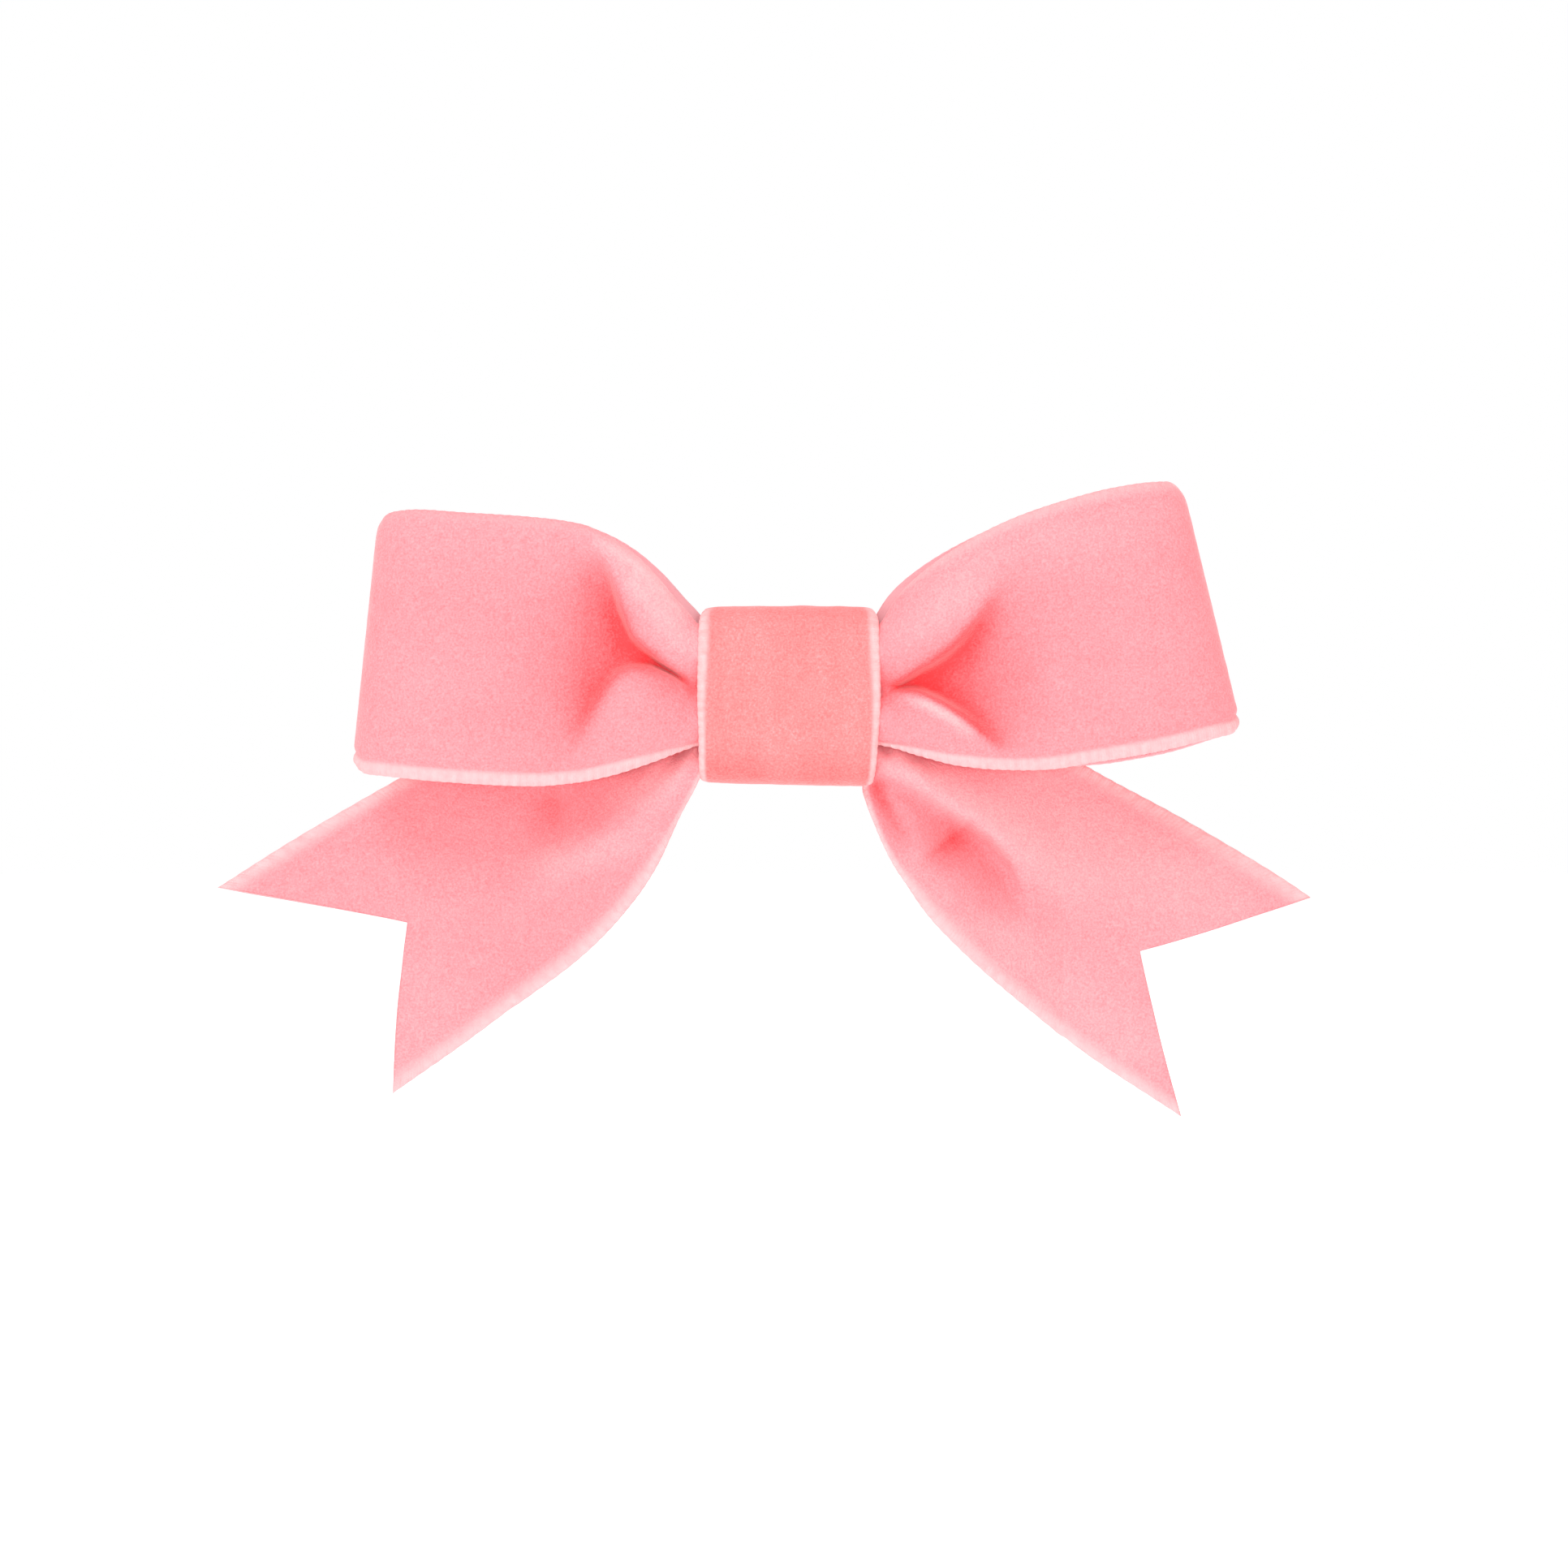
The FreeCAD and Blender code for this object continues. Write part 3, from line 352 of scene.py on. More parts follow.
# Plan of each loop, (distance from the middle, depth): front layer, end fold, back layer.
LEFT_PLAN = [(9.1, -15.25), (11.5, -16.3), (15.5, -17.4), (22, -17.9), (29, -17.8), (35, -17.3),
             (38.6, -16.4), (40.8, -14.4), (41.35, -12.2), (40.6, -9.9), (38.2, -8.4), (34, -7.95),
             (27, -8.0), (19, -8.45), (13.5, -8.95), (10.5, -9.3), (8.6, -9.6), (6, -9.85)]
RIGHT_PLAN = [(9.1, -15.25), (11.5, -16.4), (15.5, -17.6), (22, -18.2), (29, -18.0), (35, -17.3),
              (38.4, -16.3), (40.5, -14.4), (41.1, -12.2), (40.4, -9.9), (38.0, -8.4), (34, -7.95),
              (27, -8.0), (19, -8.45), (13.5, -8.95), (10.5, -9.3), (8.6, -9.6), (6, -9.85)]

# Each loop's edges and pleat, and how far out its end fold is at the top, bottom and middle.
LOOPS = {
    -1: (LEFT_TOP, LEFT_BOTTOM, table(LEFT_PLEAT), (40.3, 42.75, 41.35)),
    1: (RIGHT_TOP, RIGHT_BOTTOM, table(RIGHT_PLEAT), (38.65, 44.2, 41.1)),
}

# Strokes in the front view of painted shade (positive) and painted highlight (negative) on the
# loops: line, values along it, and spread to its right and left.
LOOP_SHADE_PAINT = [
    ([(-10.4, 1.5), (-11.5, 2.0), (-13.9, 4.1), (-15.3, 5.2), (-15.8, 6.3), (-16.65, 8.7),
      (-17.2, 10.9), (-17.8, 12.6), (-18.4, 14.6)],
     [0.4, 0.6, 0.75, 0.78, 0.7, 0.52, 0.34, 0.18, 0], 0.7, 2.0),
    ([(-10.4, 1.5), (-12.6, 2.7), (-13.9, 3.0), (-15.6, 2.85), (-16.65, 2.3), (-17.7, 1.35),
      (-18.55, 0), (-19.4, -1.4), (-20.2, -3.0), (-21.0, -4.9), (-21.7, -6.8)],
     [0, 0.1, 0.2, 0.32, 0.45, 0.58, 0.62, 0.55, 0.38, 0.15, 0], 1.6, 0.75),
    ([(-16.5, 9), (-18, 5), (-20, 1), (-21.5, -4)], [0.15, 0.32, 0.32, 0.1], 6.0, 2.5),
    ([(-10.2, 5.0), (-12.5, 7.8), (-15.2, 11.2), (-18.5, 14.0)],
     [-0.3, -0.4, -0.4, -0.15], 1.8, 1.5),
    ([(-9.8, 6.6), (-10.9, 8.3), (-12.8, 10.8), (-15.1, 12.9), (-17.3, 14.3), (-19.5, 15.2)],
     [0.0, -0.3, -0.35, -0.4, -0.35, 0.0], 0.55, 0.55),
    ([(-10, -1.5), (-13, -2.0), (-15.5, -2.5)], [0.12, 0.08, 0.0], 2.0, 2.0),
    ([(10.6, 0.95), (12.2, 1.9), (13.75, 2.94), (16.5, 5.1), (18.4, 7.3), (19.5, 8.9),
      (20.4, 10.2)], [0.7, 0.8, 0.75, 0.75, 0.6, 0.35, 0.0], 1.7, 0.6),
    ([(10.6, 0.6), (12.4, 0.5), (13.5, 0.0), (14.6, -0.6), (16.5, -1.7), (18.4, -3.3),
      (20.0, -4.7), (21.2, -5.8)], [0.2, 0.35, 0.5, 0.6, 0.75, 0.8, 0.5, 0.0], 0.3, 1.6),
    ([(13, 1.4), (17.5, 1.5), (22, 1.8), (26, 2)], [0.25, 0.32, 0.22, 0.0], 5.0, 5.0),
    ([(10.6, 0.1), (13.3, -0.75), (15.2, -1.75), (17.0, -3.0), (18.6, -4.4)],
     [-0.4, -0.85, -0.9, -0.6, 0.0], 0.7, 0.4),
    ([(10.5, 4.5), (14, 7.2), (17.5, 10.2), (21, 12.5)], [-0.2, -0.25, -0.2, 0.0], 2.2, 2.2),
]


def loop_depths(away, z, low, high, pleat, front, back):
    """How far the ribbon dips in from its plan at heights z of one section."""
    lip_low, lip_high, depth, rounding = (value(away) for value in pleat)
    lip_low, lip_high = max(lip_low, low + 1.2), min(lip_high, high - 1.2)
    share = np.clip((z - lip_low) / (lip_high - lip_low), 0, 1)
    open_up = smoothstep(11, 16, away)
    walls = 1 - np.abs(2 * share - 1) ** (rounding * (1 + 0.7 * open_up))
    dip = depth * walls * (1 - 0.22 * open_up * np.sin(math.pi * share) ** 2)
    lobe = np.where(z < lip_low, (z - low) / (lip_low - low), (high - z) / (high - lip_high))
    lobe = np.where((z >= lip_low) & (z <= lip_high), 0, np.clip(lobe, 0, 1))
    swell = 1 - smoothstep(12, 24, away)
    dip = dip - swell * np.sin(math.pi * lobe) ** 0.9
    up = (z - low) / (high - low)
    dip = dip + 0.7 * (2 * up - 1) ** 2 * smoothstep(9, 24, away)
    gather = 1.45 * (1 - smoothstep(9.5, 21, away))
    tucks = gather * (1 - np.cos(2 * math.pi * 2 * (up * 0.9 + 0.05)))
    return front * dip - back * tucks


def make_loop_ribbon():
    columns, rows, side_points, waist_points = 80, 640, 330, 60
    left, right = through(LEFT_PLAN, side_points), through(RIGHT_PLAN, side_points)
    waist_x = np.linspace(-NECK, NECK, waist_points + 2)[1:-1]
    waist = np.stack([waist_x, np.full(waist_points, WAIST_DEPTH)], axis=1)
    path = np.vstack([left[::-1] * [-1, 1], waist, right])
    path = respace(soften(path, 0.5, 0.3), rows)
    turn = np.gradient(path, axis=0)
    facing = turn[:, 0] / np.linalg.norm(turn, axis=1)
    face = np.zeros((rows, columns, 3))
    painted_shading = np.zeros((rows, columns))
    for i, (x, y) in enumerate(path):
        side = -1 if x < 0 else 1
        away = abs(x)
        top, bottom, pleat, (end_top, end_bottom, end_middle) = LOOPS[side]
        share = max(0.0, (away - NECK) / (end_middle - NECK))
        x_top = away + (end_top - end_middle) * share
        x_bottom = away + (end_bottom - end_middle) * share
        high = float(monotone(x_top, *zip(*top)))
        low = float(monotone(x_bottom, *zip(*bottom)))
        front, back = max(0.0, facing[i]), max(0.0, -facing[i])
        # The back layer's lower edge stays up behind the front layer's.
        near = 1 - smoothstep(13, 22, away)
        lift = 0.5 + 2.1 * near - 0.8 * smoothstep(20, 30, away)
        if side < 0:
            lift = 1.0 + 1.6 * near
        low = low + lift * (smoothstep(8.0, 9.5, away) * back * (1 - smoothstep(34, 41, away)))
        # Under the knot, one loop's pleat turns into the other's.
        if away < NECK:
            mixed = 0.5 + 0.5 * x / NECK
            pleat = [lambda _, a=a, b=b: a(NECK) * (1 - mixed) + b(NECK) * mixed
                     for a, b in zip(LOOPS[-1][2], LOOPS[1][2])]
        line = section(low, high, lambda z: loop_depths(away, z, low, high, pleat, front, back),
                       columns, 0.45 + 0.65 * smoothstep(11, 20, away))
        up = (line[:, 0] - low) / (high - low)
        face[i, :, 0] = side * (x_bottom + (x_top - x_bottom) * up)
        face[i, :, 1] = y + line[:, 1]
        face[i, :, 2] = line[:, 0]
        # Painted shading of the front layer: the strokes, painted shade deeper in the pleat and a
        # painted highlight towards the top edge, as if lit from above.
        marks = sum(stroke(face[i, :, 0], face[i, :, 2], *one) for one in LOOP_SHADE_PAINT)
        pleat_shade = 0.3 * np.clip(line[:, 1] / 4.0, 0, 1)
        painted_shading[i] = (marks + pleat_shade - 0.12 * smoothstep(0.6, 1.0, up)) * front
    x, z = face[..., 0], face[..., 2]
    calm = smoothstep(10, 20, np.abs(x)) * (1 - smoothstep(37, 41, np.abs(x)))
    face[..., 1] += 0.28 * waves(x, z, 11, [13.0, 19.0, 31.0]) * calm * facing[:, None]
    away = np.abs(path[:, 0])
    selvedge = 1.35 * (0.72 + 0.28 * smoothstep(9.3, 17, away))
    upper = np.where(path[:, 0] < 0, 0.65 - 0.4 * smoothstep(12, 20, away), 0.65)
    piece = ribbon("loop_ribbon_cloth", face, RIBBON_WIDTH, [VELVET, RIBBON_BACK], 1,
                   np.clip(painted_shading, -1, 1), selvedge=selvedge, bare=(1.0, upper), soft=(0.6, 0.0),
                   bead=0.08, pale=0.86)
    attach(piece, ROOT)
    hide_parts("loop_ribbon")


# ---------------------------------------------------------------- tail ribbon

# Front outline of each tail: its lower and upper edges, (x, height).
LEFT_TAIL_LOW = [(-4.5, -4.2), (-8.0, -4.6), (-8.3, -5.5), (-8.45, -6.6), (-8.85, -7.5),
                 (-9.3, -8.6), (-10.0, -10.1), (-10.75, -11.7), (-11.6, -13.5), (-13.0, -16.2),
                 (-14.9, -19.2), (-17.8, -22.7), (-21.4, -26.1), (-26.4, -29.8), (-32.5, -34.4),
                 (-39.0, -39.0)]
LEFT_TAIL_HIGH = [(-4.5, 4.4), (-8.4, 4.6), (-12, 4.4), (-16, 3.2), (-20, 1.4), (-28, -2.6),
                  (-38.5, -8.2), (-48.9, -14.2), (-56.2, -18.8)]
RIGHT_TAIL_LOW = [(4.5, -4.2), (7.0, -4.8), (7.3, -5.7), (7.45, -6.6), (7.5, -7.5), (7.56, -8.5),
                  (7.7, -9.5), (7.95, -10.5), (8.45, -12.0), (9.1, -13.7), (10.2, -16.0),
                  (11.7, -18.4), (14.2, -21.8), (18.8, -26.4), (24.4, -31.2), (29.4, -35.2),
                  (38.5, -41.3)]
RIGHT_TAIL_HIGH = [(4.5, 4.4), (8.4, 4.6), (12, 4.2), (16, 2.2), (21, -1.4), (28.6, -6.6),
                   (38.9, -12.2), (48.5, -17.9), (51.3, -19.8)]
# The inner corner of each swallow-tail cut, how much its two sides bow, and how far the upper
# edge runs ahead of the lower one near the knot, as a share of the tail's length.
NOTCH = {-1: (-37.7, -22.6), 1: (34.9, -25.0)}
NOTCH_LEAN = {-1: 0.0, 1: -0.045}
HIGH_EDGE_LEAD = {-1: 0.0, 1: 0.08}
LEAD_END = 0.55
# Depth of the tails, and how far they swell forwards below the loops, by distance from the middle.
TAIL_PLAN = [(0, -9.15), (8.6, -9.0), (12, -8.55), (17, -7.9), (24, -7.35), (34, -6.95),
             (46, -6.7), (58, -6.6)]
TAIL_SWELL = [(9, 5.2), (12, 5.2), (16, 4.3), (21, 2.3), (27, 0)]
# Ridges (positive) and hollows (negative) of each tail, then its painted shade and highlights.
LEFT_TAIL_STROKES = [
    ([(-9, -8.5), (-14, -11.2), (-19, -14.2), (-24, -17.2), (-31, -20.5)],
     [0.8, 1.3, 1.3, 0.8, 0.0], 3.2, 2.2),
    ([(-22.9, -6.5), (-23.1, -9.6), (-22.95, -11.4), (-22.7, -13.2), (-22.3, -15.5)],
     [-1.4, -1.4, -0.8, -0.3, 0.0], 2.4, 1.0),
    ([(-30, -24), (-37, -27), (-41, -31)], [0.0, 0.6, 0.3], 4.0, 4.0),
]
LEFT_TAIL_SHADE_PAINT = [
    ([(-23.4, -8.4), (-23.2, -10.5), (-22.9, -12.2), (-22.6, -13.6)],
     [0.2, 0.25, 0.15, 0.0], 1.6, 0.6),
    ([(-16, -9.0), (-20, -9.6), (-27, -9.6), (-35, -9.2)], [0.0, 0.1, 0.1, 0.0], 0.8, 0.8),
    ([(-9.5, -6.0), (-12, -8.0), (-15.5, -10.0), (-19, -11.5)],
     [-0.3, -0.35, -0.25, 0.0], 2.0, 2.0),
    ([(-31, -22), (-35, -28), (-37.5, -34)], [0.0, -0.15, -0.15], 5.0, 5.0),
    ([(-12, -13.5), (-17, -14.8), (-23, -16.0), (-28, -17.5)], [-0.1, -0.25, -0.3, 0.0], 1.8, 1.8),
]
RIGHT_TAIL_STROKES = [
    ([(9.0, -8.3), (11.4, -9.5), (13.9, -11.0), (16.5, -12.8), (19.0, -14.4), (21.05, -16.6),
      (22.6, -19.7), (23.6, -22.2)], [-0.5, -0.8, -1.4, -2.3, -2.4, -1.9, -1.1, 0.0], 3.0, 0.5),
    ([(9.0, -6.0), (13, -8.6), (18, -11.8), (23, -15.5), (28, -21)],
     [0.4, 0.8, 0.9, 0.6, 0.0], 1.0, 4.5),
    ([(16.2, -13.4), (14.6, -15.0), (12.6, -16.6)], [-0.9, -0.8, 0.0], 0.5, 1.6),
    ([(8.3, -8.9), (9.3, -10.8), (10.7, -13.0), (12.4, -15.2)], [-0.5, -0.8, -0.6, 0.0], 0.5, 0.8),
    ([(33, -21), (41, -22), (47, -21)], [0.0, 0.5, 0.2], 3.0, 3.0),
]
RIGHT_TAIL_SHADE_PAINT = [
    ([(14.9, -12.0), (16.5, -12.9), (19.0, -14.5), (21.05, -16.8), (22.6, -19.8), (23.4, -22.0)],
     [0.15, 0.4, 0.38, 0.3, 0.15, 0.0], 2.6, 0.4),
    ([(16.2, -13.6), (14.6, -15.1), (12.7, -16.6)], [0.35, 0.3, 0.0], 0.4, 1.6),
    ([(8.3, -8.9), (9.3, -10.8), (10.7, -13.0), (12.0, -14.8)], [0.8, 0.7, 0.4, 0.0], 0.4, 0.6),
    ([(9.4, -8.3), (11.4, -9.6), (13.9, -11.2), (16, -12.6)], [0.5, 0.4, 0.35, 0.2], 0.9, 0.3),
    ([(12, -11.5), (15, -14.8), (18.5, -19), (21, -22)], [0.12, 0.2, 0.2, 0.0], 2.6, 2.6),
    ([(9.2, -6.4), (12, -7.6), (15.5, -9.8), (20, -12.5), (25, -16.5), (30, -23)],
     [-0.35, -0.4, -0.4, -0.35, -0.25, 0.0], 2.0, 2.6),
    ([(25, -10), (31, -16), (42, -19)], [-0.3, -0.36, -0.25], 6.0, 6.0),
    ([(13, -18), (22, -26), (34, -34)], [-0.15, -0.25, -0.2], 4.0, 4.0),
]

# Each tail's edges, relief and painted shading, and the loop's edge in front of it.
TAILS = {
    -1: (LEFT_TAIL_LOW, LEFT_TAIL_HIGH, LEFT_TAIL_STROKES, LEFT_TAIL_SHADE_PAINT, LEFT_BOTTOM),
    1: (RIGHT_TAIL_LOW, RIGHT_TAIL_HIGH, RIGHT_TAIL_STROKES, RIGHT_TAIL_SHADE_PAINT, RIGHT_BOTTOM),
}


def tail_face(side, columns, rows):
    """The grid of one tail's pile face from the knot to its cut, and its painted shading."""
    low_edge, high_edge, strokes, shading_strokes, loop_edge = TAILS[side]
    dense, samples = 1600, 500
    low, high = through(low_edge, dense), through(high_edge, dense)
    middle = (low + high) / 2
    back_to_notch = np.hypot(*(middle[-1] - np.array(NOTCH[side])))
    notch = 1 - back_to_notch / along_of(middle)[-1]
    face = np.zeros((rows, columns, 3))
    painted_shading = np.zeros((rows, columns))
    k = np.arange(dense)
    f = np.linspace(0, 1, samples)
    reach = notch + (1 - notch) * np.abs(2 * f - 1)
    for i in range(rows):
        s = i / (rows - 1)
        pull = smoothstep(0.35, 1.0, s)
        at = s * (1 - pull + pull * reach) * (dense - 1)
        lead = HIGH_EDGE_LEAD[side] * math.sin(math.pi * min(1.0, s / LEAD_END))
        ahead = at + lead * (dense - 1)
        lx, lz = np.interp(at, k, low[:, 0]), np.interp(at, k, low[:, 1])
        hx, hz = np.interp(ahead, k, high[:, 0]), np.interp(ahead, k, high[:, 1])
        g = f + NOTCH_LEAN[side] * 4 * f * (1 - f) * pull
        x, z = lx + (hx - lx) * g, lz + (hz - lz) * g
        away = np.abs(x)
        under = monotone(away, *zip(*loop_edge)) - z
        gather = 0.78 * (1 - smoothstep(9.0, 19.0, away))
        tucks = gather * (1 - np.cos(2 * math.pi * (5 * f + 0.1)))
        tucks = tucks * (1 - 0.85 * smoothstep(-0.8, 1.0, under))
        relief = sum(stroke(x, z, *one) for one in strokes)
        outer = smoothstep(27, 33, away)
        clear = np.maximum(smoothstep(-0.5, 1.5, under) * (1 - outer), outer)
        swell = monotone(away, *zip(*TAIL_SWELL)) * smoothstep(-2.6, -0.1, under)
        y = monotone(away, *zip(*TAIL_PLAN)) + tucks - relief * clear - swell
        y = y + 0.9 * (2 * f - 1) ** 2 * smoothstep(20, 34, away) * np.where(f > 0.5, 1, 0.4)
        y = y - 0.9 * smoothstep(26, 45, away) * np.sin(math.pi * f)
        # Painted shade and painted highlights from the shading strokes.
        marks = sum(stroke(x, z, *one) for one in shading_strokes)
        line = np.stack([x, y, z, marks, tucks], axis=1)
        run = along_of(line[:, :3])
        line[:, [1, 3, 4]] = soften(line[:, [1, 3, 4]], 0.5, run[-1] / (samples - 1))
        even = column_places(columns) + 0.5
        even = (1 - pull) * np.interp(even * run[-1], run, f) + pull * even
        line = np.stack([np.interp(even, f, line[:, c]) for c in range(5)], axis=1)
        face[i] = line[:, :3]
        # Painted shading: the strokes, plus painted shade in the tucks.
        painted_shading[i] = line[:, 3] + 0.3 * np.clip(line[:, 4], 0, 1)
    return face, np.clip(painted_shading, -1, 1)


def make_tail_ribbon():
    columns, left_rows, right_rows, waist_rows = 65, 230, 240, 20
    left, left_shading = tail_face(-1, columns, left_rows)
    right, right_shading = tail_face(1, columns, right_rows)
    share = np.linspace(0, 1, waist_rows + 2)[1:-1, None, None]
    waist = left[:1] * (1 - share) + right[:1] * share
    face = np.concatenate([left[::-1], waist, right])
    # The tails' painted shading, none where they cross under the knot.
    painted_shading = np.concatenate([left_shading[::-1], np.zeros((waist_rows, columns)), right_shading])
    x, z = face[..., 0], face[..., 2]
    face[..., 1] += 0.3 * waves(x, z, 23, [12.0, 18.0, 29.0]) * smoothstep(14, 26, np.abs(x))
    selvedge = 0.3 + 1.7 * smoothstep(9, 15, np.abs(face[:, 0, 0]))
    piece = ribbon("tail_ribbon_cloth", face, RIBBON_WIDTH, [VELVET, RIBBON_BACK], 1, painted_shading,
                   selvedge=selvedge, bare=(0.85, 0.95), soft=(0.0, 0.0), bead=0.03, pile=0.25)
    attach(piece, ROOT)
    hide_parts("tail_ribbon")


# ---------------------------------------------------------------- knot band

# The band's outer face seen along the clasp, (y, z), from the lower back round the front.
BAND_PATH = [(-5.6, -5.25), (-6.9, -6.65), (-7.9, -7.8), (-8.9, -8.45), (-10.5, -8.65),
             (-12.6, -8.65), (-14.4, -8.5), (-15.7, -7.7), (-16.35, -6.1), (-16.65, -3.8),
             (-16.75, 0), (-16.65, 3.8), (-16.35, 6.3), (-15.7, 7.75), (-14.4, 8.5), (-12.6, 8.65),
             (-10.5, 8.65), (-8.9, 8.5), (-7.9, 8.0), (-6.9, 6.9), (-5.6, 5.5), (-4.85, 4.75),
             (-4.5, 3.9), (-4.45, 2), (-4.45, -2), (-4.5, -3.9), (-4.85, -4.9), (-5.5, -6.1),
             (-6.5, -7.4), (-7.2, -8.3)]
# How the band narrows, left and right of its middle line, by height.
BAND_LEFT = [(-8.5, 0.98), (-7.7, 0.99), (-4, 0.995), (0, 1.01), (4, 1.0), (7.7, 0.985),
             (8.3, 0.965), (8.65, 0.935)]
BAND_RIGHT = [(-8.5, 0.92), (-7.7, 0.94), (-4, 0.975), (0, 1.0), (4, 0.99), (7.7, 0.975),
              (8.3, 0.95), (8.65, 0.92)]


def make_knot_band():
    columns, rows, turn_length = 60, 330, 62
    path = through(BAND_PATH, rows)
    across = column_places(columns) * BAND_WIDTH
    y, z = path[:, 0][:, None], path[:, 1][:, None]
    left, right = (monotone(z, *zip(*narrowing)) for narrowing in (BAND_LEFT, BAND_RIGHT))
    face = np.zeros((rows, columns, 3))
    face[..., 0] = across[None] * np.where(across[None] < 0, left, right)
    face[..., 1] = y
    face[..., 2] = z - 0.022 * across[None] * smoothstep(0, -8, z)
    u, v = np.meshgrid(np.arange(rows) / rows * turn_length, across, indexing="ij")
    on_front = smoothstep(-12, -16, y)
    crown = 0.2 * (1 - (2 * v / BAND_WIDTH) ** 2)
    puckers = 0.08 * waves(u * 0.22, v, 31, [2.6, 3.7, 5.3])
    outwards = -grid_normals(face)
    face = face + outwards * (crown * (0.3 + 0.7 * on_front) + puckers)[..., None]
    # A little deeper all over as the band's own colour, with painted shade in the puckers' hollows
    # and on the lower part, where the band turns under.
    painted_shading = np.clip(0.2 - 2.2 * puckers + 0.35 * smoothstep(-4, -8, z), 0, 1)
    selvedge = 0.9 + 0.25 * np.sin(path[:, 1] / 4.0)
    piece = ribbon("knot_band_cloth", face, BAND_WIDTH, [BAND_VELVET, RIBBON_BACK], -1, painted_shading,
                   selvedge=selvedge, bare=(0.92, 0.92), soft=(0.35, 0.35), bead=0.04, pile=0.16)
    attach(piece, ROOT)
    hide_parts("knot_band")


# ---------------------------------------------------------------- threads, tension bar

def around(path):
    """Two directions square to a closed path, and to each other, at each of its points."""
    tangent = np.roll(path, -1, 0) - np.roll(path, 1, 0)
    tangent /= np.linalg.norm(tangent, axis=1, keepdims=True)
    side = np.cross(tangent, ASKEW)
    side /= np.linalg.norm(side, axis=1, keepdims=True)
    return side, np.cross(tangent, side)


def tube(path, radius, sides):
    """Points and faces of a tube along a closed path, with a ring at each of its points."""
    side, other = around(path)
    angle = np.linspace(0, 2 * math.pi, sides, endpoint=False)[None, :, None]
    ring = side[:, None] * np.cos(angle) + other[:, None] * np.sin(angle)
    faces = []
    for i in range(len(path)):
        here, there = i * sides, (i + 1) % len(path) * sides
        for k in range(sides):
            right = (k + 1) % sides
            faces.append((here + k, there + k, there + right, here + right))
    return (path[:, None] + radius * ring).reshape(-1, 3), faces


def plied_thread(name, loops):
    """Closed loops of three-ply thread as one piece."""
    plies, sides, stations = 3, 6, 260
    points, faces = [], []
    for loop in loops:
        path = through(loop, stations, closed=True)[:-1]
        turns = round(steps_of(path).sum() / THREAD_LAY)
        side, other = around(path)
        for ply in range(plies):
            angle = np.linspace(0, 2 * math.pi * turns, len(path), endpoint=False)
            angle = (angle + ply * 2 * math.pi / plies)[:, None]
            strand = path + THREAD_RADIUS * 0.48 * (side * np.cos(angle) + other * np.sin(angle))
            ring_points, ring_faces = tube(strand, THREAD_RADIUS * 0.52, sides)
            offset = len(points) * len(ring_points)
            points.append(ring_points)
            faces += [tuple(offset + k for k in quad) for quad in ring_faces]
    return make_object(name, np.vstack(points), faces, [THREAD])


def make_threads():
    front, middle, back, high, low = -15.46, -9.3, -6.59, 7.16, 5.26
    ring = [(front, 0), (front, 3.2), (front + 0.02, 5.4), (front + 0.5, 6.75),
            (front + 1.8, high), (-11.5, high), (middle, high), (-7.9, 6.3),
            (back - 0.15, low + 0.1), (back, low - 0.6), (back, 2.5), (back, 0)]
    ring = ring + [(y, -z) for y, z in ring[-2:0:-1]]
    wraps = [[(x, y, z) for y, z in ring] for x in (-0.9, -0.45, 0.0, 0.45, 0.9)]
    gathering = plied_thread("gathering_thread_plied", wraps)
    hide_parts("gathering_thread")
    stitch = [(-8.3, -2.2), (-8.3, -0.7), (-8.15, -0.15), (-7.6, 0.0), (-6.6, 0.0), (-5.6, 0.0),
              (-5.1, -0.15), (-4.95, -0.7), (-4.95, -2.2), (-4.95, -3.8), (-5.1, -4.3),
              (-5.6, -4.45), (-6.6, -4.45), (-7.6, -4.45), (-8.15, -4.3), (-8.3, -3.8)]
    tacks = [[(x, y, z) for y, z in stitch] for x in (-14.0, 14.0)]
    tacking = plied_thread("tack_stitches_plied", tacks)
    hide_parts("tack_stitches")
    for piece in (gathering, tacking):
        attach(piece, ROOT)


def make_tension_bar():
    """The arched strip as one leaf, bent across the crown, in place of its two halves."""
    span, rise, crown_y, half_width, half_thickness = 19.0, 1.95, -2.575, 2.5, 0.175
    rows, corner, corner_steps, round_end, end_width = 121, 0.12, 4, 1.2, 0.55
    radius = (span * span + rise * rise) / (2 * rise)
    limit = math.asin(span / radius)
    ring = []
    for quadrant, (side_z, side_y) in enumerate(((1, 1), (-1, 1), (-1, -1), (1, -1))):
        for step in range(corner_steps):
            angle = math.radians(90 * quadrant + 30 * step)
            ring.append((side_z * (half_width - corner) + corner * math.cos(angle),
                         side_y * (half_thickness - corner) + corner * math.sin(angle)))
    size = len(ring)
    points, faces = [], []
    for i in range(rows):
        t = -limit + 2 * limit * i / (rows - 1)
        inwards = min(1.0, (limit - abs(t)) * radius / round_end)
        narrow = end_width + (1 - end_width) * math.sqrt(max(0.0, 1 - (1 - inwards) ** 2))
        for z, height in ring:
            r = radius + height
            points.append((r * math.sin(t), crown_y - radius + r * math.cos(t), z * narrow))
    for i in range(rows - 1):
        for k in range(size):
            a, b = i * size + k, i * size + (k + 1) % size
            faces.append((a, a + size, b + size, b))
    faces.append(tuple(range(size)))
    faces.append(tuple((rows - 1) * size + k for k in reversed(range(size))))
    leaf = make_object("tension_bar_leaf", points, faces, [SPRING_STEEL])
    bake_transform(leaf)
    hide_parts("tension_bar_hinge_half", "tension_bar_catch_half")


# ---------------------------------------------------------------- materials

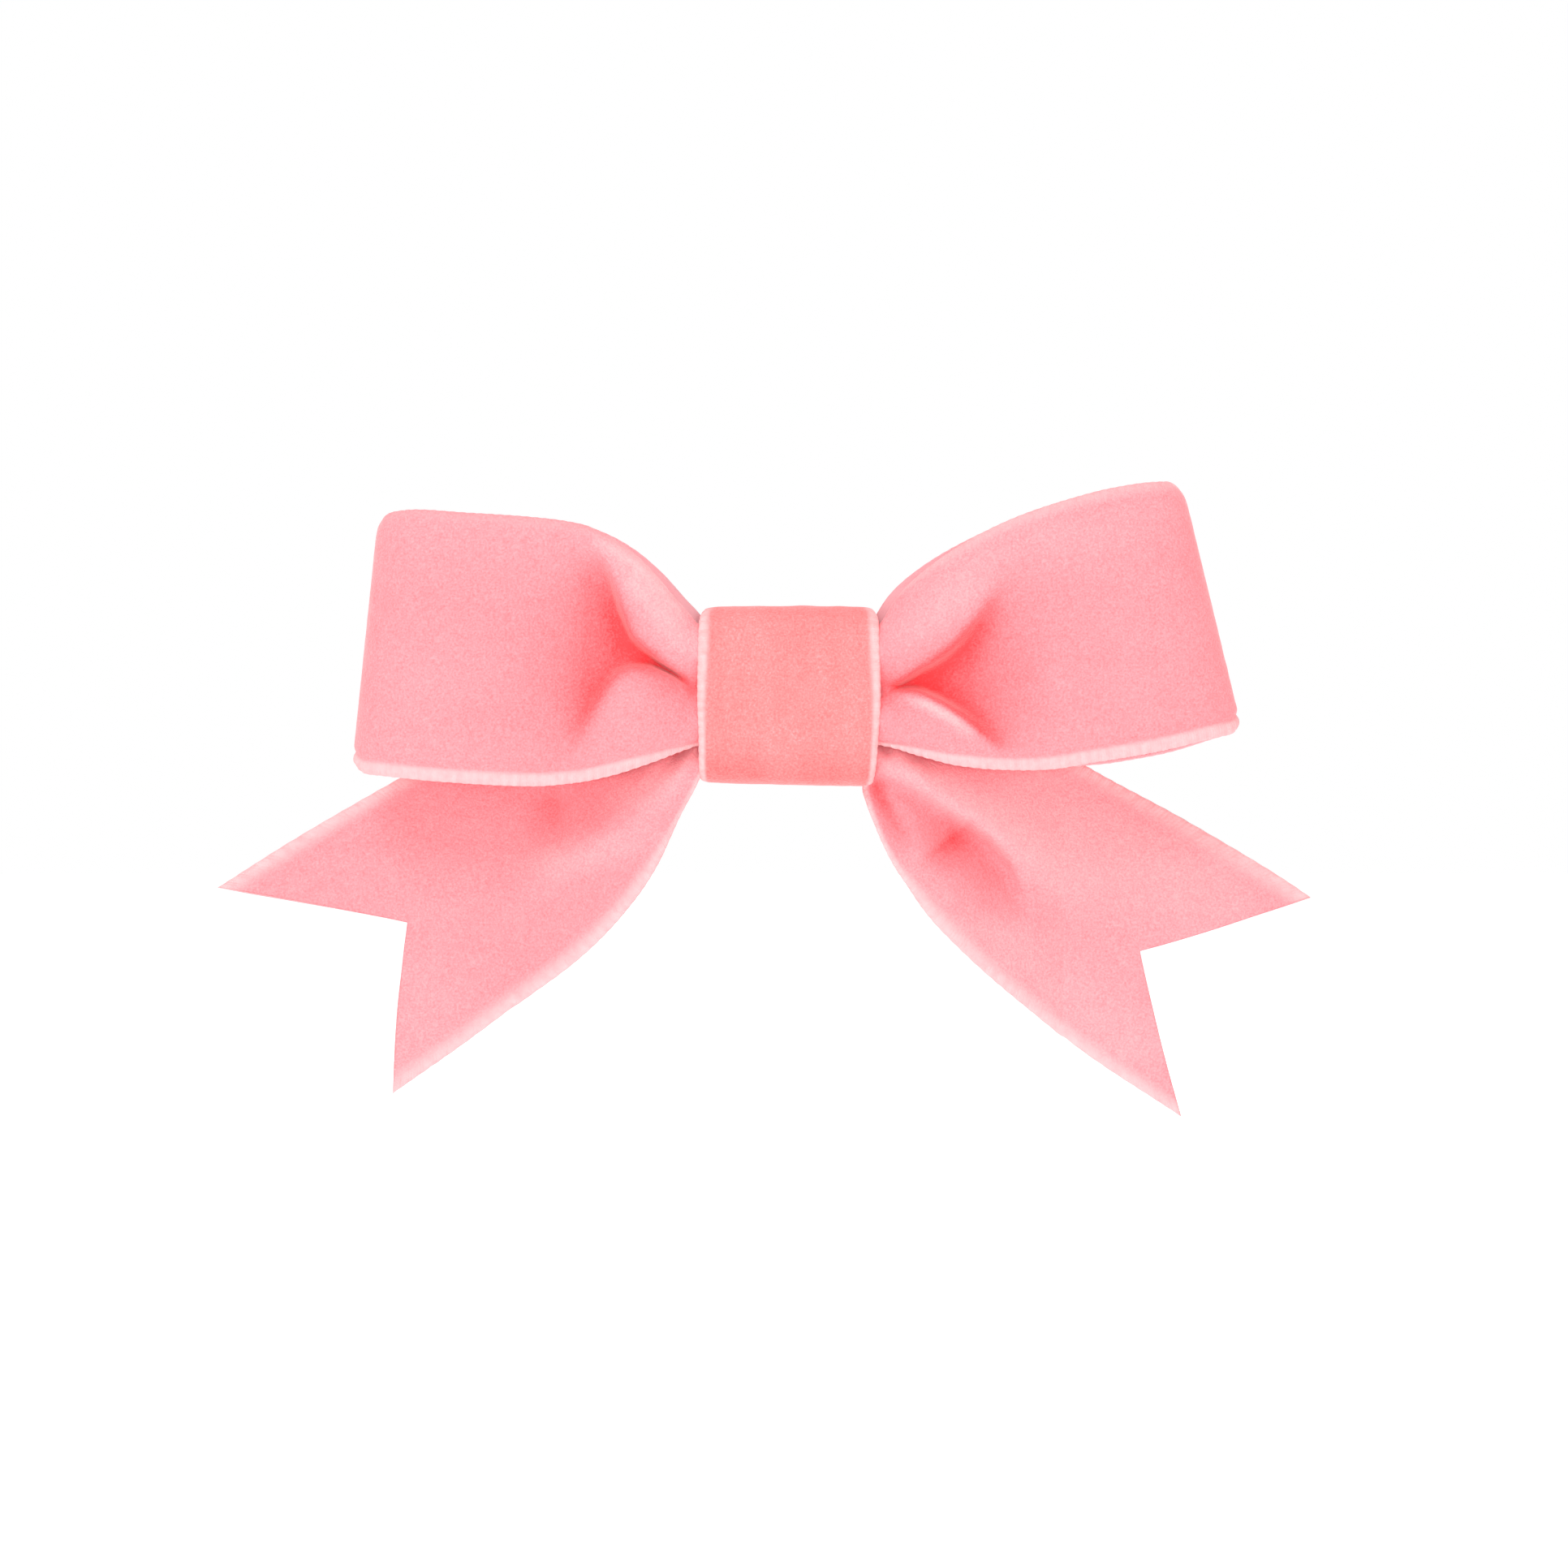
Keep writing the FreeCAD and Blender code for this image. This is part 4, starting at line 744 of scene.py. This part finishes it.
class Nodes:
    """A short way to write a node material."""

    def __init__(self, name):
        self.material = bpy.data.materials.new(name)
        self.material.use_nodes = True
        self.tree = self.material.node_tree
        self.shader = next(n for n in self.tree.nodes if n.type == "BSDF_PRINCIPLED")

    def add(self, kind, inputs=None, **settings):
        node = self.tree.nodes.new(kind)
        for key, value in settings.items():
            setattr(node, key, value)
        for key, value in (inputs or {}).items():
            self.set(node.inputs[key], value)
        return node

    def set(self, socket, value):
        if isinstance(value, bpy.types.NodeSocket):
            self.tree.links.new(value, socket)
        else:
            socket.default_value = value

    def attribute(self, name):
        return self.add("ShaderNodeAttribute", attribute_name=name).outputs["Fac"]

    def math(self, operation, a, b=0.0, c=0.0, clamp=False):
        node = self.add("ShaderNodeMath", operation=operation, use_clamp=clamp)
        for socket, value in zip(node.inputs, (a, b, c)):
            self.set(socket, value)
        return node.outputs[0]

    def noise(self, scale, detail, roughness, where):
        inputs = {"Scale": scale, "Detail": detail, "Roughness": roughness, "Vector": where}
        return self.add("ShaderNodeTexNoise", inputs).outputs["Fac"]

    def place(self, stretch=(1, 1, 1)):
        where = self.add("ShaderNodeTexCoord").outputs["Object"]
        return self.add("ShaderNodeMapping", {"Vector": where, "Scale": stretch}).outputs["Vector"]

    def spread(self, value, low, high, to_low=0.0, to_high=1.0):
        inputs = {"Value": value, "From Min": low, "From Max": high,
                  "To Min": to_low, "To Max": to_high}
        return self.add("ShaderNodeMapRange", inputs).outputs["Result"]

    def mix(self, factor, a, b):
        node = self.add("ShaderNodeMix", data_type="RGBA")
        self.set(node.inputs["Factor"], factor)
        for key, value in ((6, a), (7, b)):
            linked = isinstance(value, bpy.types.NodeSocket)
            self.set(node.inputs[key], value if linked else (*value, 1.0))
        return node.outputs[2]

    def ribs(self, along, pitch):
        return self.math("SINE", self.math("MULTIPLY", along, 2 * math.pi / pitch))

    def bump(self, height, strength, distance):
        inputs = {"Height": height, "Strength": strength, "Distance": distance}
        return self.add("ShaderNodeBump", inputs).outputs["Normal"]

    def finish(self, **inputs):
        for key, value in inputs.items():
            self.set(self.shader.inputs[key.replace("_", " ")], value)
        return self.material


def velvet(name, flat, deep, pale, nap, speckle):
    """Short pile: a pastel face with painted shade in the folds and painted highlights, paler
    where the selvedge has no pile.

    nap stretches the brushed marks, and speckle is how mottled the pile is.
    """
    m = Nodes(name)
    where = m.place()
    grain = m.noise(4600, 2.0, 0.6, where)
    tuft = m.noise(1150, 3.0, 0.6, where)
    brushed = m.noise(420, 4.0, 0.6, m.place(nap))
    cloud = m.noise(90, 3.0, 0.5, m.place(nap))
    painted_shading = m.attribute("painted_shading")
    selvedge = m.attribute("selvedge")
    along = m.attribute("along")
    drift = 0.05 * speckle**2
    lean = m.math("ADD", m.spread(brushed, 0.3, 0.7, -0.035, 0.035),
                  m.spread(cloud, 0.35, 0.65, -drift, drift))
    speck = m.math("ADD", m.spread(grain, 0.25, 0.75, -0.3 * speckle, 0.3 * speckle),
                   m.spread(tuft, 0.3, 0.7, -0.05 * speckle, 0.05 * speckle))
    # depth is the painted shading plus the pile's random grain: above 0 the colour goes towards
    # deep (painted shade), below 0 towards pale (painted highlights).
    depth = m.math("ADD", painted_shading, m.math("ADD", lean, speck))
    colour = m.mix(m.math("MAXIMUM", depth, 0.0), flat, deep)
    colour = m.mix(m.math("MULTIPLY", depth, -1.0, clamp=True), colour, pale)
    wander = m.math("SINE", m.math("DIVIDE", along, BEAD_DRIFT))
    phase = m.math("MULTIPLY_ADD", wander, BEAD_WANDER,
                   m.math("MULTIPLY", along, 2 * math.pi / BEAD_PITCH))
    beads = m.math("MULTIPLY", m.math("COSINE", phase), selvedge)
    # Bead crests painted paler and the dips between them darker, a painted highlight and shade on
    # the beads, varied by the brushed noise.
    bead_shading = m.math("MULTIPLY", beads, m.spread(brushed, 0.3, 0.7, 0.0, 1.0))
    worn = m.math("MULTIPLY", selvedge, m.spread(tuft, 0.3, 0.6, 0.65, 1.0))
    colour = m.mix(m.math("MULTIPLY_ADD", bead_shading, 0.12, worn, clamp=True), colour, pale)
    rib = m.math("MULTIPLY", m.ribs(along, SELVEDGE_RIB), selvedge)
    ground = m.math("MULTIPLY_ADD", beads, 0.35, m.math("MULTIPLY", rib, 0.12))
    height = m.math("ADD", m.math("MULTIPLY_ADD", grain, 0.6, tuft), ground)
    return m.finish(
        Base_Color=colour, Roughness=0.92, Normal=m.bump(height, 0.5, 0.00022),
        Specular_IOR_Level=0.12, Sheen_Weight=0.4, Sheen_Roughness=0.45,
        Sheen_Tint=(1.0, 0.86, 0.87, 1.0),
    )


def ribbon_back():
    """The ground weave on the back of the velvet: fine ribs across the ribbon."""
    m = Nodes("ribbon_back")
    rib = m.ribs(m.attribute("along"), BACK_RIB)
    warp = m.ribs(m.attribute("across"), BACK_WARP)
    weave = m.math("MULTIPLY", rib, warp)
    cloud = m.noise(700, 3.0, 0.6, m.place((1, 1, 0.4)))
    depth = m.math("ADD", m.spread(weave, -1, 1, -0.16, 0.16),
                   m.spread(cloud, 0.3, 0.7, 0.35, 0.6), clamp=True)
    colour = m.mix(depth, (0.93, 0.44, 0.47), (0.86, 0.27, 0.31))
    height = m.math("ADD", weave, m.math("MULTIPLY", cloud, 0.8))
    return m.finish(
        Base_Color=colour, Roughness=m.spread(cloud, 0.3, 0.7, 0.5, 0.68),
        Normal=m.bump(height, 0.45, 0.00006), Specular_IOR_Level=0.35,
        Sheen_Weight=0.15, Sheen_Roughness=0.5,
    )


def steel(name, base, rough, along_x):
    """Nickel-plated strip: fine drawing lines along it, faint mottling and a few marks."""
    m = Nodes(name)
    lines = m.noise(900, 3.0, 0.6, m.place((0.05, 1, 1) if along_x else (1, 1, 0.05)))
    smear = m.noise(120, 4.0, 0.6, m.place())
    pits = m.noise(2400, 2.0, 0.5, m.place())
    tone = m.math("ADD", m.spread(lines, 0.3, 0.7, -0.12, 0.12),
                  m.spread(smear, 0.3, 0.7, 0.1, 0.6), clamp=True)
    roughness = m.math("ADD", m.spread(smear, 0.3, 0.7, rough - 0.05, rough + 0.08),
                       m.spread(lines, 0.3, 0.7, -0.04, 0.04))
    height = m.math("ADD", lines, m.math("MULTIPLY", pits, 0.3))
    return m.finish(
        Base_Color=m.mix(tone, base, tuple(0.8 * c for c in base)), Metallic=1.0,
        Roughness=roughness, Normal=m.bump(height, 0.3, 0.00003), Anisotropic=0.35,
    )


def thread_material():
    """Matt sewing thread with its fibres showing."""
    m = Nodes("thread")
    fibre = m.noise(5200, 3.0, 0.6, m.place((1, 0.5, 0.5)))
    colour = m.mix(m.spread(fibre, 0.3, 0.7), (0.93, 0.42, 0.46), (0.84, 0.29, 0.33))
    return m.finish(Base_Color=colour, Roughness=0.7, Normal=m.bump(fibre, 0.5, 0.00004),
                    Sheen_Weight=0.3)


def glue_material():
    """Set hot-melt glue: cloudy, uneven and slightly glossy."""
    m = Nodes("set_glue")
    lumps = m.noise(420, 3.0, 0.5, m.place())
    colour = m.mix(m.spread(lumps, 0.3, 0.7), (0.86, 0.82, 0.70), (0.74, 0.69, 0.56))
    return m.finish(
        Base_Color=colour, Roughness=m.spread(lumps, 0.3, 0.7, 0.22, 0.4),
        Normal=m.bump(lumps, 0.4, 0.0002), Subsurface_Weight=0.2,
        Subsurface_Radius=(0.001, 0.0008, 0.0005),
    )


# deep is the colour of the painted shade and of the darker grain; pale is both the bare selvedge's
# own colour and the colour of the painted highlights.
VELVET = velvet("ribbon_velvet", flat=(0.985, 0.262, 0.290), deep=(0.880, 0.076, 0.084),
                pale=(0.990, 0.490, 0.500), nap=(0.5, 1, 1.2), speckle=1.0)
BAND_VELVET = velvet("knot_velvet", flat=(0.975, 0.246, 0.246), deep=(0.930, 0.115, 0.115),
                     pale=(0.985, 0.500, 0.505), nap=(1.3, 1, 0.35), speckle=1.4)
RIBBON_BACK = ribbon_back()
CLASP_STEEL = steel("clasp_steel", (0.63, 0.62, 0.60), 0.26, True)
SPRING_STEEL = steel("spring_steel", (0.54, 0.54, 0.545), 0.22, True)
RIVET_STEEL = steel("rivet_steel", (0.60, 0.58, 0.55), 0.3, False)
THREAD = thread_material()
GLUE = glue_material()

CAD_MATERIALS = {
    "base_plate": CLASP_STEEL,
    "clasp_arm": CLASP_STEEL,
    "hinge_pin": RIVET_STEEL,
    "catch_rivet": RIVET_STEEL,
    "catch_base": SPRING_STEEL,
    "catch_prong_upper": SPRING_STEEL,
    "catch_prong_lower": SPRING_STEEL,
    "glue_pads": GLUE,
}


def finish_cad_nodes():
    for name, material in CAD_MATERIALS.items():
        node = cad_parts[name]
        node.data.materials.clear()
        node.data.materials.append(material)


# ---------------------------------------------------------------- stage

# Sizes and places on the stage are in metres, powers in watts.
FLOOR_SIZE, FLOOR_PLACE, FLOOR_GLOW = 6.0, (0, 1.5, -0.058), 0.5
WORLD_LIGHT, WORLD_SEEN = 0.65, 1.0
LIGHTS = (
    ("key", (-0.35, -0.7, 0.85), 0.6, 5.8),
    ("front", (0.05, -1.2, -0.15), 0.5, 17.0),
    ("back", (0.1, 0.9, 0.7), 0.8, 3.0),
)
LIT_POINT = (0, 0, -0.01)
SENSOR = 36.0
CAMERA_DISTANCE = 1.0
CAMERA_AIM = (-0.00052, -0.00865)  # x and z of the middle of the view
VIEW_WIDTH, VIEW_DEPTH = 0.1534, -0.012  # the width seen at the loops' own depth


def make_floor():
    bpy.ops.mesh.primitive_plane_add(size=FLOOR_SIZE, location=FLOOR_PLACE)
    floor = bpy.context.object
    floor.name = "floor"
    paper = Nodes("floor_paper")
    tooth = paper.noise(900, 3.0, 0.5, paper.place())
    colour = paper.mix(paper.spread(tooth, 0.3, 0.7), (0.93, 0.93, 0.93), (0.90, 0.90, 0.90))
    floor.data.materials.append(paper.finish(
        Base_Color=colour, Roughness=0.9, Emission_Color=(1, 1, 1, 1),
        Emission_Strength=FLOOR_GLOW))


def make_lights():
    world = bpy.data.worlds.new("studio")
    world.use_nodes = True
    bpy.context.scene.world = world
    tree = world.node_tree
    background = next(n for n in tree.nodes if n.type == "BACKGROUND")
    background.inputs["Color"].default_value = (1, 1, 1, 1)
    seen = tree.nodes.new("ShaderNodeLightPath")
    strength = tree.nodes.new("ShaderNodeMapRange")
    strength.inputs["To Min"].default_value = WORLD_LIGHT
    strength.inputs["To Max"].default_value = WORLD_SEEN
    tree.links.new(seen.outputs["Is Camera Ray"], strength.inputs["Value"])
    tree.links.new(strength.outputs["Result"], background.inputs["Strength"])
    for name, place, size, power in LIGHTS:
        data = bpy.data.lights.new(name, "AREA")
        data.shape, data.size, data.energy = "DISK", size, power
        light = bpy.data.objects.new(name, data)
        light.location = place
        towards = Vector(LIT_POINT) - light.location
        light.rotation_euler = towards.to_track_quat("-Z", "Y").to_euler()
        bpy.context.scene.collection.objects.link(light)


def make_camera():
    scene = bpy.context.scene
    data = bpy.data.cameras.new("camera")
    data.sensor_width = SENSOR
    data.lens = SENSOR / 2 / (VIEW_WIDTH / 2 / (CAMERA_DISTANCE + VIEW_DEPTH))
    data.clip_start, data.clip_end = 0.05, 20.0
    camera = bpy.data.objects.new("camera", data)
    camera.location = (CAMERA_AIM[0], -CAMERA_DISTANCE, CAMERA_AIM[1])
    camera.rotation_euler = (math.radians(90), 0, 0)
    scene.collection.objects.link(camera)
    scene.camera = camera
    scene.view_settings.view_transform = "Standard"
    scene.view_settings.look = "None"


make_loop_ribbon()
make_tail_ribbon()
make_knot_band()
make_threads()
make_tension_bar()
finish_cad_nodes()
make_floor()
make_lights()
make_camera()

bpy.context.view_layer.update()
